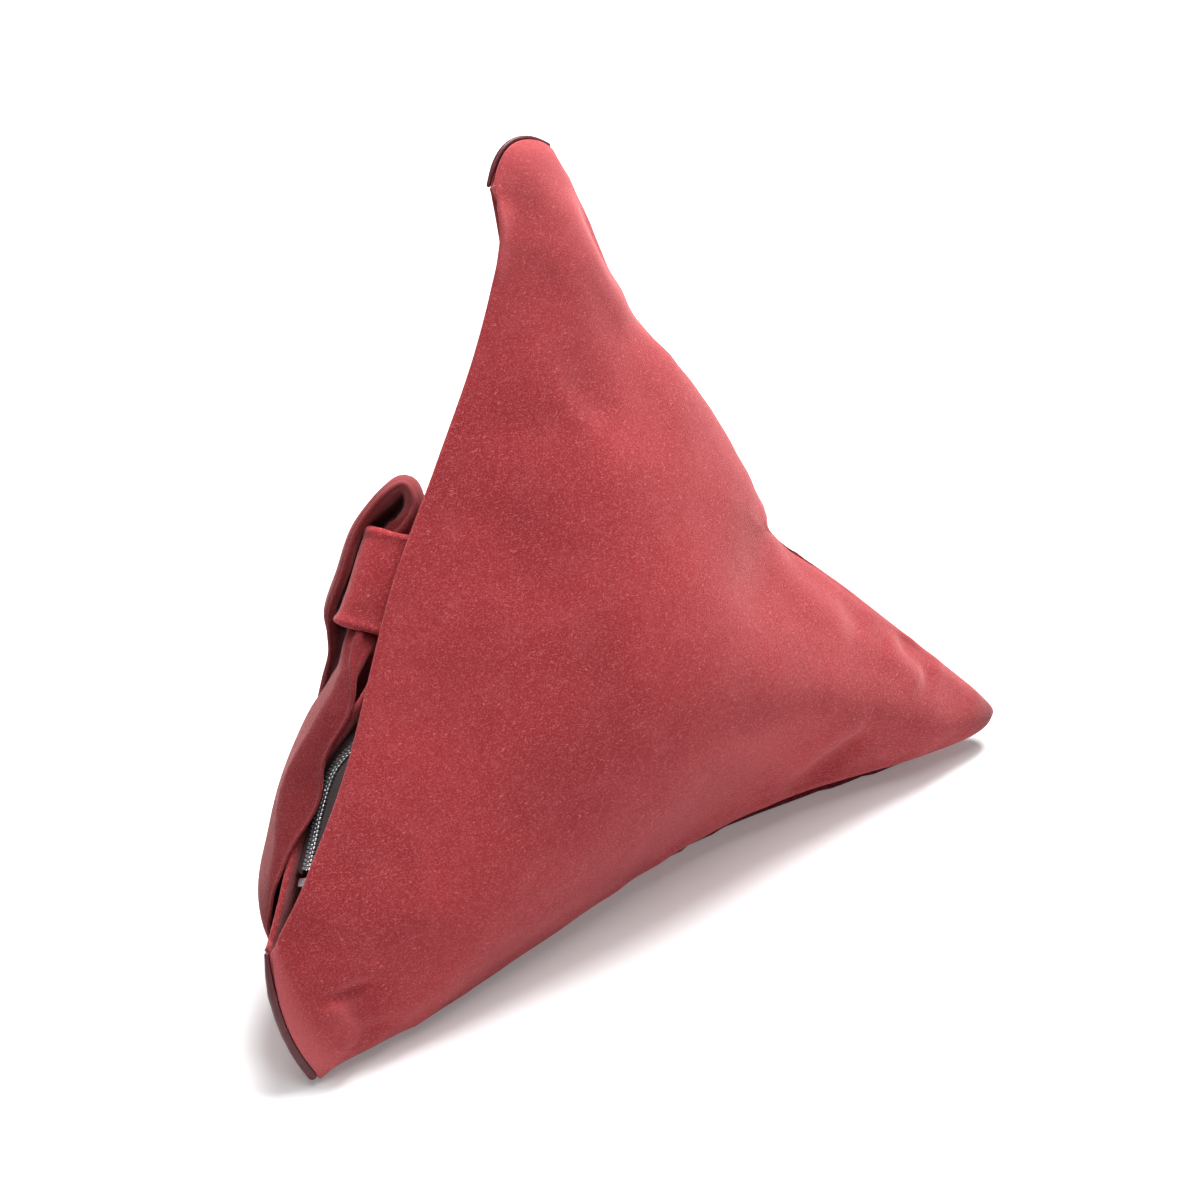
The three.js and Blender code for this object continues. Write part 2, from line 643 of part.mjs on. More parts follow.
add('zip_slider', join([plate, arch]), 'metal', sliderFrame);

// Pull: a tab whose end bar lies under the bridge
const pivot = { x: -(bridgeLength / 2 - bridgeBar - pivotInset), z: plateTop + pivotRise };
const pullFrame = new THREE.Group();
pullFrame.name = 'pull_frame';
pullFrame.position.set(pivot.x, 0, pivot.z);
sliderFrame.add(pullFrame);
const eyeStart = pullBar / 2;
const eyeEnd = Math.hypot(pivot.x + bridgeLength / 2, plateTop + bridgeHeight - pivot.z) + 2 * moveGap;
const pullShape = rounded(pullLength + eyeStart, pullWidth, pullCorner);
const eyeHalf = bridgeWidth / 2 + moveGap;
const pullMiddle = (eyeStart - pullLength) / 2;
pullShape.holes.push(new THREE.Path([
  [-eyeEnd - pullMiddle, -eyeHalf], [-eyeStart - pullMiddle, -eyeHalf],
  [-eyeStart - pullMiddle, eyeHalf], [-eyeEnd - pullMiddle, eyeHalf],
].map(([x, y]) => new THREE.Vector2(x, y))));
const pullCut = { depth: pullThick, bevelEnabled: false, curveSegments: 5 };
const pull = new THREE.ExtrudeGeometry(pullShape, pullCut);
pull.translate(pullMiddle, 0, -pullThick / 2);
add('zip_pull', pull, 'metal', pullFrame);

// Piping along the two sewn ends
function piping(end) {
  const points = [];
  const count = 14;
  for (let i = 0; i <= count; i += 1) {
    const x = THREE.MathUtils.lerp(pipingStart, pipingEnd, i / count);
    const point = inPlane(end, x);
    const along = inPlane(end, Math.min(x + 0.01, 1)).sub(inPlane(end, Math.max(x - 0.01, 0))).normalize();
    const out = end ? new THREE.Vector2(along.y, -along.x) : new THREE.Vector2(-along.y, along.x);
    const outside = point.addScaledVector(out, pipingSeat);
    points.push(place(outside.x, outside.y, pinch(outside.x, outside.y)));
  }
  const path = new THREE.CatmullRomCurve3(points);
  const circle = new THREE.Shape().absarc(0, 0, pipingRadius, 0, 2 * Math.PI);
  const sweep = { steps: 20, curveSegments: 5, bevelEnabled: false, extrudePath: path };
  return new THREE.ExtrudeGeometry(circle, sweep);
}
add('upper_end_piping', piping(1), 'piping');
add('lower_end_piping', piping(0), 'piping');

// Front face frame for the sash and its keeper
const tilt = THREE.MathUtils.degToRad(faceAngle);
const facePlane = (across, lift) => ({
  v: faceBase.v + across * Math.cos(tilt) - lift * Math.sin(tilt),
  n: faceBase.n - across * Math.sin(tilt) - lift * Math.cos(tilt),
});
function faceLift(u, across) {
  let lift = 0;
  for (let i = 0; i < 9; i += 1) {
    const { v, n } = facePlane(across, lift);
    lift += (n + seamGap / 2 + height(u, v, true) - pinch(u, v)) / 1.45;
  }
  return lift;
}
function onFace(u, across, lift, drop = 0) {
  const { v, n } = facePlane(across, lift);
  const point = place(u, v, n);
  point.z -= drop;
  return point;
}

// How far the settled filling takes the front face down at a place
function faceDrop(u, across, lift) {
  const point = onFace(u, across, lift);
  const before = point.z;
  const { v } = facePlane(across, lift);
  settle(point, height(u, v, true), onBase(u, v).along);
  return before - point.z;
}

function sash() {
  const through = (first) => new THREE.CatmullRomCurve3(
    sashStations.map((row) => new THREE.Vector3(...row.slice(first, first + 3))), false, 'catmullrom', 0.5);
  const line = through(0);
  const form = through(3);
  const outer = [];
  const inner = [];
  for (let i = 0; i <= sashRows; i += 1) {
    const t = i / sashRows;
    const centre = line.getPoint(t);
    const heading = line.getTangent(t);
    const normal = new THREE.Vector2(-heading.y, heading.x).normalize();
    const { x: width, y: crown, z: pleat } = form.getPoint(t);
    const outRow = [];
    const inRow = [];
    for (let j = 0; j <= sashColumns; j += 1) {
      const q = (2 * j) / sashColumns - 1;
      const across = centre.z + (q * width) / 2;
      const bend = crown * (1 - q * q) + pleat * Math.cos(1.5 * Math.PI * (q + 1));
      const ground = faceLift(centre.x, across);
      const drop = faceDrop(centre.x, across, ground);
      const layer = (side) => onFace(
        centre.x + normal.x * (bend + side), across, ground + centre.y + normal.y * (bend + side), drop);
      outRow.push(layer(sashThick / 2));
      inRow.push(layer(-sashThick / 2));
    }
    outer.push(outRow);
    inner.push(inRow);
  }
  return shell(outer, inner);
}
add('sash', sash(), 'suede');

function band() {
  const section = (grow) => rounded(
    bandInner.across + 2 * grow, bandInner.lift + 2 * grow, bandCorner + grow).getPoints(4).slice(0, -1);
  const outer = [];
  const inner = [];
  const rows = 4;
  const ground = (across) => faceLift(bandCentre, across);
  for (let i = 0; i <= rows; i += 1) {
    const u = bandCentre + (i / rows - 0.5) * bandHeight;
    const ring = (list) => list.map((p) => {
      const across = bandAcross + p.x;
      return onFace(u, across, Math.max(faceLift(u, across), ground(across)) + bandLift + p.y);
    });
    outer.push(ring(section(bandWall)));
    inner.push(ring(section(0)));
  }
  return ringShell(outer, inner);
}

// A closed sleeve between two grids whose columns run round
function ringShell(outer, inner) {
  const rows = outer.length;
  const columns = outer[0].length;
  const index = [];
  const at = (layer, i, j) => layer * rows * columns + i * columns + (j % columns);
  const quad = (a, b, c, d) => index.push(a, b, c, a, c, d);
  for (let j = 0; j < columns; j += 1) {
    for (let i = 0; i + 1 < rows; i += 1) {
      quad(at(0, i, j), at(0, i, j + 1), at(0, i + 1, j + 1), at(0, i + 1, j));
      quad(at(1, i, j), at(1, i + 1, j), at(1, i + 1, j + 1), at(1, i, j + 1));
    }
    const last = rows - 1;
    quad(at(0, 0, j), at(1, 0, j), at(1, 0, j + 1), at(0, 0, j + 1));
    quad(at(0, last, j), at(0, last, j + 1), at(1, last, j + 1), at(1, last, j));
  }
  const geometry = new THREE.BufferGeometry().setFromPoints([...outer.flat(), ...inner.flat()]);
  geometry.setIndex(index);
  return outward(geometry);
}
add('keeper_band', band(), 'suede');

// The origin lies on the floor, below the middle of the whole bag
const box = new THREE.Box3().setFromObject(group);
const middle = box.getCenter(new THREE.Vector3());
group.position.set(-middle.x, -middle.y, -box.min.z);

export default group;
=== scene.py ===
import math

import bmesh
import bpy
import numpy as np
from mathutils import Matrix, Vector


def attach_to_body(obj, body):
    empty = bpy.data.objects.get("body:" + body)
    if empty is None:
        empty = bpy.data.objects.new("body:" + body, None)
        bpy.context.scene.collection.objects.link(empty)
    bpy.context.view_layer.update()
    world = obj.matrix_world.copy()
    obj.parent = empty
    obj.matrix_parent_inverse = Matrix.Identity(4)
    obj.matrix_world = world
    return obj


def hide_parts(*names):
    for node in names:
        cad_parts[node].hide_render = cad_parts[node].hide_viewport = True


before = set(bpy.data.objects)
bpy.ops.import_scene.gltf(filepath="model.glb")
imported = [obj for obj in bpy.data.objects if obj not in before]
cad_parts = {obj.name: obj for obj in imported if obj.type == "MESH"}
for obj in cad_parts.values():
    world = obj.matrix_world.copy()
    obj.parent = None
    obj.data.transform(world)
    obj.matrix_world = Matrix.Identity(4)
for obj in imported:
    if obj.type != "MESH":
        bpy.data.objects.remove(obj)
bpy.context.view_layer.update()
print("frame loaded:", len(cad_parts), "nodes")

# The camera of the photograph
cameraSet = {
    "place": (0.5242, 0.6894, 0.6723),
    "azimuth": 142.32,
    "elevation": 33.04,
    "lens": 85.0,
    "sensor": 36.0,
    "clipStart": 0.05,
}


def makeCamera():
    data = bpy.data.cameras.new("photoCamera")
    data.lens = cameraSet["lens"]
    data.sensor_width = cameraSet["sensor"]
    data.clip_start = cameraSet["clipStart"]
    camera = bpy.data.objects.new("photoCamera", data)
    bpy.context.scene.collection.objects.link(camera)
    turn = math.radians(cameraSet["azimuth"])
    rise = math.radians(cameraSet["elevation"])
    back = Vector((math.sin(turn) * math.cos(rise), -math.cos(turn) * math.cos(rise), math.sin(rise)))
    camera.location = cameraSet["place"]
    camera.rotation_euler = (-back).to_track_quat("-Z", "Y").to_euler()
    bpy.context.scene.camera = camera


makeCamera()
print("camera placed")

# The bag's form, in millimetres: u runs up the mouth, v to the far tip, n out of the back
bagForm = {
    "standAt": (156.978, 47.562, 0.0),
    "mouthLength": 310.0,
    "seamLength": 325.0,
    "cornerHeight": 24.0,
    "tipHeight": 13.0,
    "leanDegrees": 16.2,
    "suedeThick": 2.2,
    "seamGap": 0.3,
    "mouthOutline": [
        (0.074, -0.07), (0.161, -0.056), (0.29, -0.0395), (0.484, -0.041),
        (0.629, -0.0235), (0.758, -0.0095), (0.871, -0.0125), (0.9355, -0.036)],
    "seamOutline": [
        (-0.0613, 0.0455), (-0.0387, 0.0718), (0.0258, 0.1926), (0.129, 0.35), (0.258, 0.539), (0.342, 0.69),
        (0.4226, 0.886), (0.4677, 0.98), (0.4968, 1.003), (0.516, 0.9874), (0.555, 0.868), (0.613, 0.672),
        (0.6516, 0.525), (0.687, 0.49), (0.787, 0.35), (0.861, 0.2), (0.945, 0.105), (0.997, 0.0385)],
    "tipCorner": 8,
    "seamSwing": 0.1,
    "endBulge": (4.4, 9.5),
    "endReach": 0.16,
    "endRun": 50.0,
    "edgeRound": 4.0,
    "seamRound": 2.5,
    "tipSpan": (0.46, 0.52),
    "backRise": {"mouth": 0.34, "lowerEnd": 0.42, "base": 0.6, "tip": 0.5, "ridge": 0.5, "upperEnd": 0.42},
    "frontRise": {"mouth": 1.12, "lowerEnd": 0.6, "base": 7.0, "tip": 0.7, "ridge": 1.15, "upperEnd": 0.42},
    "settleSag": 18.0,
    "settleReach": 70.0,
    "settleDepth": (2.0, 26.0),
    "settleFade": (0.04, 0.3),
    "settleBack": 0.5,
    "settleRound": 1.6,
    "basePinch": 9.0,
    "basePinchReach": 60.0,
    "mouthHalfGap": 4.6,
    "endHalfGap": 0.25,
    "gapFade": (6.0, 26.0, 16.0, 8.0),
    "lowerGap": (8.5, 0.2516, 0.0774),
    "frontDrop": 10.5,
    "frontDropReach": 45.0,
    "frontDropFrom": (0.27, 0.43),
    "frontDropTo": (0.84, 0.985),
    "frontDropPasses": 8,
}

mouthLength = bagForm["mouthLength"]
tipReach = math.sqrt(bagForm["seamLength"] ** 2 - (mouthLength / 2) ** 2)


def unit(vector):
    return vector / np.linalg.norm(vector)


def bagAxes():
    drop = bagForm["tipHeight"] - bagForm["cornerHeight"]
    side = bagForm["seamLength"]
    baseLine = np.array([-math.sqrt(side ** 2 - drop ** 2), 0, drop]) / side
    lean = math.radians(bagForm["leanDegrees"])
    upLine = np.array([0, -math.sin(lean), math.cos(lean)])
    upLine = unit(upLine - baseLine * upLine.dot(baseLine))
    foot = mouthLength / (2 * side)
    alongMouth = baseLine * foot + upLine * math.sqrt(1 - foot ** 2)
    toTip = unit(baseLine - alongMouth * foot)
    return alongMouth, toTip, unit(np.cross(toTip, alongMouth))


axisU, axisV, axisN = bagAxes()
planeOrigin = np.array(bagForm["standAt"]) + np.array([0, 0, bagForm["cornerHeight"]])


def place(u, v, n):
    u, v, n = np.broadcast_arrays(np.asarray(u, float), v, n)
    return planeOrigin + u[..., None] * axisU + v[..., None] * axisV + n[..., None] * axisN


def smoothStep(value, low, high):
    t = np.clip((value - low) / (high - low), 0, 1)
    return t * t * (3 - 2 * t)


def bell(value, width):
    return np.exp(-((value / width) ** 2))


# Length along a line of points, from its start
def runAlong(line):
    return np.concatenate([[0], np.cumsum(np.linalg.norm(np.diff(line, axis=0), axis=1))])


# Rows of numbers, read between their places
def between(at, places, rows):
    return np.stack([np.interp(at, places, column) for column in np.transpose(rows)], axis=-1)


def hermite(a, b, start, end, w):
    return (2 * a - 2 * b + start + end) * w ** 3 + (3 * b - 3 * a - 2 * start - end) * w ** 2 + start * w + a


def splineAt(points, t, extend=False):
    points = np.asarray(points, float)
    last = len(points) - 1
    if extend:
        points = np.vstack([2 * points[0] - points[1], points, 2 * points[-1] - points[-2]])
    else:
        points = np.vstack([points[0], points, points[-1]])
    at = np.clip(np.asarray(t, float), 0, 1) * last
    i = np.minimum(at.astype(int), last - 1)
    w = (at - i)[..., None]
    a, b, c, d = points[i], points[i + 1], points[i + 2], points[i + 3]
    return hermite(b, c, (c - a) / 2, (d - b) / 2, w)


# A curve that is read by the share of its length
def evenCurve(points, divisions):
    t = np.linspace(0, 1, divisions + 1)
    run = runAlong(splineAt(points, t))

    def at(share):
        return splineAt(points, np.interp(np.clip(share, 0, 1) * run[-1], run, t))
    return at, run[-1]


def outlinePoints(shares):
    return np.array(shares) * (mouthLength, tipReach)


mouthAt, mouthRun = evenCurve(outlinePoints(bagForm["mouthOutline"]), 400)
seamAt, seamRun = evenCurve(outlinePoints(bagForm["seamOutline"]), 900)


# A point of the outline's inside: s up the bag, x from the mouth to the far seam
def inPlane(s, x):
    s, x = np.broadcast_arrays(np.asarray(s, float), np.asarray(x, float))
    start = mouthAt(s)
    end = seamAt(np.clip(s + bagForm["seamSwing"] * np.sin(2 * np.pi * s), 0, 1))
    flat = start + (end - start) * x[..., None]
    for side in (0, 1):
        mouthEnd, seamEnd = mouthAt(np.array([side]))[0], seamAt(np.array([side]))[0]
        out = unit(np.array([seamEnd[1] - mouthEnd[1], mouthEnd[0] - seamEnd[0]])) * (1 if side else -1)
        near = np.maximum(0, 1 - np.abs(side - s) / bagForm["endReach"])
        flat = flat + out * (bagForm["endBulge"][side] * near * near * 4 * x * (1 - x))[..., None]
    return flat


def outlineSteps(step):
    rows = []

    def add(pointAt, count, nameAt):
        t = (np.arange(count) + 0.5) / count
        edges = pointAt(np.arange(count + 1) / count)
        run = np.linalg.norm(np.diff(edges, axis=0), axis=1)
        for share, point, length in zip(t, pointAt(t), run):
            name = nameAt(share)
            seam = 1.0 if name in ("base", "tip", "ridge") else 0.0
            rises = [bagForm[key][name] ** 3 for key in ("backRise", "frontRise")]
            rows.append((*point, length, *rises, seam))
    low, high = bagForm["tipSpan"]
    add(mouthAt, math.ceil(mouthRun / step), lambda t: "mouth")
    endCount = math.ceil(bagForm["endRun"] / step)
    add(lambda t: inPlane(0.0, t), endCount, lambda t: "lowerEnd")
    add(lambda t: inPlane(1.0, t), endCount, lambda t: "upperEnd")
    add(seamAt, math.ceil(seamRun / step), lambda t: "base" if t < low else "tip" if t < high else "ridge")
    return np.array(rows)


outline = outlineSteps(1.0)
fineOutline = outlineSteps(0.4)
mouthStart, mouthStop = mouthAt(np.array([0.0, 1.0]))[:, 0]


def gapHalf(u, front):
    lowerOut, lowerIn, upperIn, upperOut = bagForm["gapFade"]
    opening = smoothStep(u, mouthStart - lowerOut, mouthStart + lowerIn)
    closing = smoothStep(u, mouthStop - upperIn, mouthStop + upperOut)
    extra, centre, reach = bagForm["lowerGap"]
    more = extra * bell(u / mouthLength - centre, reach) if front else 0
    least = bagForm["endHalfGap"]
    return least + (bagForm["mouthHalfGap"] - least + more) * opening * (1 - closing)


mouthLine = mouthAt(np.linspace(0, 1, 200))
seamLine = seamAt(np.linspace(0, 1, 400))


# The front's mouth edge sits lower than the back's over the upper part
def frontDrop(u, v):
    share = u / mouthLength
    band = smoothStep(share, *bagForm["frontDropFrom"]) * (1 - smoothStep(share, *bagForm["frontDropTo"]))
    edge = np.interp(u, mouthLine[:, 0], mouthLine[:, 1])
    depth = np.maximum(0, v - edge)
    toSeam = np.minimum(1, depth / np.maximum(np.interp(u, seamLine[:, 0], seamLine[:, 1]) - edge, 1))
    return bagForm["frontDrop"] * band * np.exp(-depth / bagForm["frontDropReach"]) * (1 - toSeam * toSeam)


def beforeDrop(u, v):
    start = v
    for _ in range(bagForm["frontDropPasses"]):
        start = v - frontDrop(u, start)
    return start


# Height of the outer face above the seam plane
def fullness(u, v, front):
    return heightOver(u, beforeDrop(u, v) if front else v, front, outline)


def heightOver(u, v, front, steps, onEdge=False):
    u, v = np.broadcast_arrays(np.asarray(u, float), np.asarray(v, float))
    shape = u.shape
    u, v = u.ravel(), v.ravel()
    allSum, seamSum = np.zeros(len(u)), np.zeros(len(u))
    weight = steps[:, 2] / steps[:, 4 if front else 3]
    block = 1500
    for i in range(0, len(u), block):
        span = slice(i, i + block)
        square = (steps[:, 0] - u[span, None]) ** 2 + (steps[:, 1] - v[span, None]) ** 2 + 1e-6
        share = weight / (square * square)
        allSum[span] = share.sum(1)
        seamSum[span] = share @ steps[:, 5]
    rise = np.where(np.broadcast_to(onEdge, shape).ravel(), 0, np.cbrt(np.pi / 2 / allSum))
    fromSeam = np.cbrt(np.pi / 2 / seamSum)
    opened = (bagForm["suedeThick"] + gapHalf(u, front)) ** 2 * fromSeam / (fromSeam + bagForm["seamRound"])
    return np.sqrt(rise * rise + 2 * bagForm["edgeRound"] * rise + opened).reshape(shape)


baseFrom = outlinePoints(bagForm["seamOutline"])[0]
baseAlong = outlinePoints(bagForm["seamOutline"])[bagForm["tipCorner"]] - baseFrom


def onBase(u, v):
    fromU, fromV = u - baseFrom[0], v - baseFrom[1]
    length = np.linalg.norm(baseAlong)
    along = (fromU * baseAlong[0] + fromV * baseAlong[1]) / length ** 2
    return along, (fromU * baseAlong[1] - fromV * baseAlong[0]) / length


def pinch(u, v):
    along, off = onBase(u, v)
    inside = (along > 0) & (along < 1)
    deep = np.sin(np.pi * along) ** 2 * bell(off, bagForm["basePinchReach"])
    return np.where(inside, -bagForm["basePinch"] * deep, 0)


# The filling sinks to a flat base on the floor, away from the seam and the lower end
def settle(points, deep, along):
    share = smoothStep(deep, *bagForm["settleDepth"]) * smoothStep(along, *bagForm["settleFade"])
    points = points.copy()
    nearFloor = np.maximum(0, 1 - points[..., 2] / bagForm["settleReach"])
    points[..., 2] -= bagForm["settleSag"] * share * nearFloor
    back = np.minimum(np.maximum(0, -points[..., 2] / axisN[2]), deep * bagForm["settleBack"])
    points += back[..., None] * axisN
    points[..., 2] = (points[..., 2] + np.hypot(points[..., 2], bagForm["settleRound"])) / 2
    return points


def sideOf(front):
    return -1.0 if front else 1.0


def sideWord(front):
    return "front" if front else "back"


# Outer face of a panel over a grid of s and x
def faceGrid(s, x, front):
    s, x = np.broadcast_arrays(s, x)
    flat = inPlane(s, x)
    u, v = flat[..., 0], flat[..., 1]
    deep = heightOver(u, v, front, fineOutline, (s == 0) | (s == 1) | (x == 0))
    if front:
        v = v + frontDrop(u, v)
    shift = pinch(u, v)
    points = place(u, v, sideOf(front) * (bagForm["seamGap"] / 2 + deep) + shift)
    if front:
        points = settle(points, deep, onBase(u, v)[0])
    seam = place(u, v, sideOf(front) * bagForm["seamGap"] / 2 + shift)
    return np.where((x == 1)[..., None], seam, points), np.stack([u, v], axis=-1)


def gridNormals(points, front):
    down = np.gradient(points, axis=0)
    across = np.gradient(points, axis=1)
    normal = np.cross(across, down)
    normal /= np.maximum(np.linalg.norm(normal, axis=-1, keepdims=True), 1e-9)
    return normal * sideOf(front)


# Soft lumps from a few fixed waves, about -1 to 1
def softLumps(points, wave, seed):
    draw = np.random.default_rng(seed)
    total = np.zeros(points.shape[:-1])
    waves = 14
    for _ in range(waves):
        way = unit(draw.normal(size=3)) * (2 * np.pi / wave) * draw.uniform(0.6, 1.5)
        total += np.sin(points @ way + draw.uniform(0, 2 * np.pi))
    return total / math.sqrt(waves)


millimetre = 0.001


def makeObject(name, vertices, faces, attributes=None):
    mesh = bpy.data.meshes.new(name)
    mesh.from_pydata((np.asarray(vertices) * millimetre).tolist(), [], faces)
    mesh.update()
    work = bmesh.new()
    work.from_mesh(mesh)
    bmesh.ops.recalc_face_normals(work, faces=work.faces)
    work.to_mesh(mesh)
    work.free()
    for key, values in (attributes or {}).items():
        layer = mesh.attributes.new(key, "FLOAT", "POINT")
        layer.data.foreach_set("value", np.asarray(values, np.float32))
    mesh.shade_smooth()
    piece = bpy.data.objects.new(name, mesh)
    bpy.context.scene.collection.objects.link(piece)
    return piece


# Puts a piece on its body, in the place of a CAD node
def attach(piece, node, body="bag"):
    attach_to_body(piece, body)
    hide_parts(node)
    return piece


def gridFaces(rows, columns, first=0, closedRows=False, closedColumns=False):
    faces = []
    for i in range(rows if closedRows else rows - 1):
        for j in range(columns if closedColumns else columns - 1):
            k, m = (i + 1) % rows, (j + 1) % columns
            corners = (i * columns + j, i * columns + m, k * columns + m, k * columns + j)
            faces.append(tuple(first + c for c in corners))
    return faces


# A closed skin between two grids, with a rounded rim of a few steps
def skinMesh(name, outer, inner, attributes=None, rimSteps=4):
    rows, columns = outer.shape[:2]
    loop = [(0, j) for j in range(columns)] + [(i, columns - 1) for i in range(1, rows)]
    loop += [(rows - 1, j) for j in range(columns - 2, -1, -1)] + [(i, 0) for i in range(rows - 2, 0, -1)]
    inwards = {}
    for i, j in loop:
        inwards[(i, j)] = (min(max(i, 1), rows - 2), min(max(j, 1), columns - 2))
    edge = np.array([outer[k] for k in loop])
    under = np.array([inner[k] for k in loop])
    inside = np.array([(outer[inwards[k]] + inner[inwards[k]]) / 2 for k in loop])
    middle, half = (edge + under) / 2, (edge - under) / 2
    size = np.linalg.norm(half, axis=1, keepdims=True)
    out = middle - inside
    out -= half * (np.sum(out * half, axis=1, keepdims=True) / np.maximum(size ** 2, 1e-9))
    out /= np.maximum(np.linalg.norm(out, axis=1, keepdims=True), 1e-9)
    rings = []
    for k in range(1, rimSteps):
        turn = math.pi * k / rimSteps
        rings.append(middle + half * math.cos(turn) + out * size * math.sin(turn))
    count, around = rows * columns, len(loop)
    vertices = np.vstack([outer.reshape(-1, 3), inner.reshape(-1, 3)] + rings)
    faces = gridFaces(rows, columns) + [f[::-1] for f in gridFaces(rows, columns, count)]
    ids = [[i * columns + j for i, j in loop]]
    ids += [[2 * count + r * around + k for k in range(around)] for r in range(rimSteps - 1)]
    ids += [[count + i * columns + j for i, j in loop]]
    for a, b in zip(ids, ids[1:]):
        for k in range(around):
            m = (k + 1) % around
            faces.append((a[m], a[k], b[k], b[m]))
    full = {}
    for key, values in (attributes or {}).items():
        flat = np.asarray(values).reshape(-1)
        rim = np.array([values[k] for k in loop])
        full[key] = np.concatenate([flat, flat] + [rim] * (rimSteps - 1))
    return makeObject(name, vertices, faces, full)


# Distance from points in the plane to a line of points, and the share along it
def lineDistance(u, v, line):
    line = np.asarray(line, float)
    best = np.full(u.shape, np.inf)
    share = np.zeros(u.shape)
    lengths = runAlong(line)
    for i in range(len(line) - 1):
        step = line[i + 1] - line[i]
        t = np.clip(((u - line[i, 0]) * step[0] + (v - line[i, 1]) * step[1]) / step.dot(step), 0, 1)
        far = np.hypot(u - line[i, 0] - t * step[0], v - line[i, 1] - t * step[1])
        near = far < best
        share = np.where(near, (lengths[i] + t * (lengths[i + 1] - lengths[i])) / lengths[-1], share)
        best = np.where(near, far, best)
    return best, share


panelSet = {
    "rows": 181,
    "columns": 97,
    "lumpHeight": 0.4,
    "lumpWave": 46.0,
    "rawSpan": 300.0,
    "rawReach": 2.4,
    "rawPale": 0.6,
    "sinkShare": 0.45,
    # The next two paint the top end paler, partly wear and partly painted light, and a painted highlight
    # along the ridge seam
    "topWearAndLight": (0.14, 42.0),
    "ridgeHighlight": (0.28, 22.0),
    "ridgeFrom": (0.5, 0.56),
    # Darker and a little glossier towards the far tip
    "tipDarkening": (0.9, 13.0),
    "puckerHeight": (0.3, 0.1),
    "puckerWave": 17.0,
    "puckerReach": 22.0,
    "puckerFade": 0.02,
    "simFrames": 20,
    "simCap": 3.0,
    "simQuality": 6,
    "simMass": 0.3,
    "simStretch": 18.0,
    "simShear": 6.0,
    "simBend": 6.0,
    "simPressure": 2.5,
    "simGrow": -0.002,
    "simSmooth": 5,
    "edgeHold": 0.06,
    "seamHold": (0.05, 0.16),
    "floorFree": (1.0, 12.0),
    "creaseEnd": 0.03,
    "edgeThick": 0.25,
    "edgeTaper": 0.08,
    "innerRoom": (0.2, 0.6),
    "flat": ((0.345, 0.32, 0.0535), (0.4, 0.36, 0.08)),
}


# Columns of a panel, closer together at the mouth and at the seam
def columnSpread(columns):
    even = np.linspace(0, 1, columns)
    return 0.5 * even + 0.25 * (1 - np.cos(np.pi * even))


# Lets a panel swell and settle as cloth that is held at its edges, and returns how far each point moved
def swell(points, held, front):
    rows, columns = points.shape[:2]
    body = makeObject("swellBody", points.reshape(-1, 3), gridFaces(rows, columns))
    group = body.vertex_groups.new(name="held")
    for i, weight in enumerate(held.reshape(-1)):
        if weight > 0.001:
            group.add([i], float(weight), "REPLACE")
    soft = body.modifiers.new("soft", "CLOTH")
    soft.settings.quality = panelSet["simQuality"]
    soft.settings.mass = panelSet["simMass"]
    soft.settings.tension_stiffness = panelSet["simStretch"]
    soft.settings.compression_stiffness = panelSet["simStretch"]
    soft.settings.shear_stiffness = panelSet["simShear"]
    soft.settings.bending_stiffness = panelSet["simBend"]
    soft.settings.vertex_group_mass = "held"
    soft.settings.use_pressure = True
    soft.settings.uniform_pressure_force = panelSet["simPressure"] * sideOf(front)
    soft.settings.shrink_min = panelSet["simGrow"]
    soft.settings.effector_weights.gravity = 0
    soft.collision_settings.use_collision = False
    soft.point_cache.frame_start = 1
    soft.point_cache.frame_end = panelSet["simFrames"]
    scene = bpy.context.scene
    for step in range(1, panelSet["simFrames"] + 1):
        scene.frame_set(step)
    shown = body.evaluated_get(bpy.context.evaluated_depsgraph_get())
    moved = np.zeros(len(shown.data.vertices) * 3)
    shown.data.vertices.foreach_get("co", moved)
    moved = moved.reshape(points.shape) / millimetre - points
    scene.frame_set(1)
    mesh = body.data
    bpy.data.objects.remove(body)
    bpy.data.meshes.remove(mesh)
    for _ in range(panelSet["simSmooth"]):
        around = moved[:-2, 1:-1] + moved[2:, 1:-1] + moved[1:-1, :-2] + moved[1:-1, 2:]
        moved[1:-1, 1:-1] = (moved[1:-1, 1:-1] + around / 4) / 2
    return moved


def spreadOut(values, shape):
    rows = np.linspace(0, values.shape[0] - 1, shape[0])
    columns = np.linspace(0, values.shape[1] - 1, shape[1])
    i = np.minimum(rows.astype(int), values.shape[0] - 2)
    j = np.minimum(columns.astype(int), values.shape[1] - 2)
    a, b = (rows - i)[:, None, None], (columns - j)[None, :, None]
    a, b = a * a * (3 - 2 * a), b * b * (3 - 2 * b)
    top = values[i][:, j] * (1 - b) + values[i][:, j + 1] * b
    low = values[i + 1][:, j] * (1 - b) + values[i + 1][:, j + 1] * b
    return top * (1 - a) + low * a


# A crease: its line in the plane, its half width, its height, how much painted highlight (partly rubbed nap)
# its ridge gets, and how it fades out
def crease(line, width, height, wearAndHighlight=0.0, fade=0.25, seamFade=0.05):
    return {"line": line, "width": width, "height": height, "wearAndHighlight": wearAndHighlight, "fade": fade, "seamFade": seamFade}


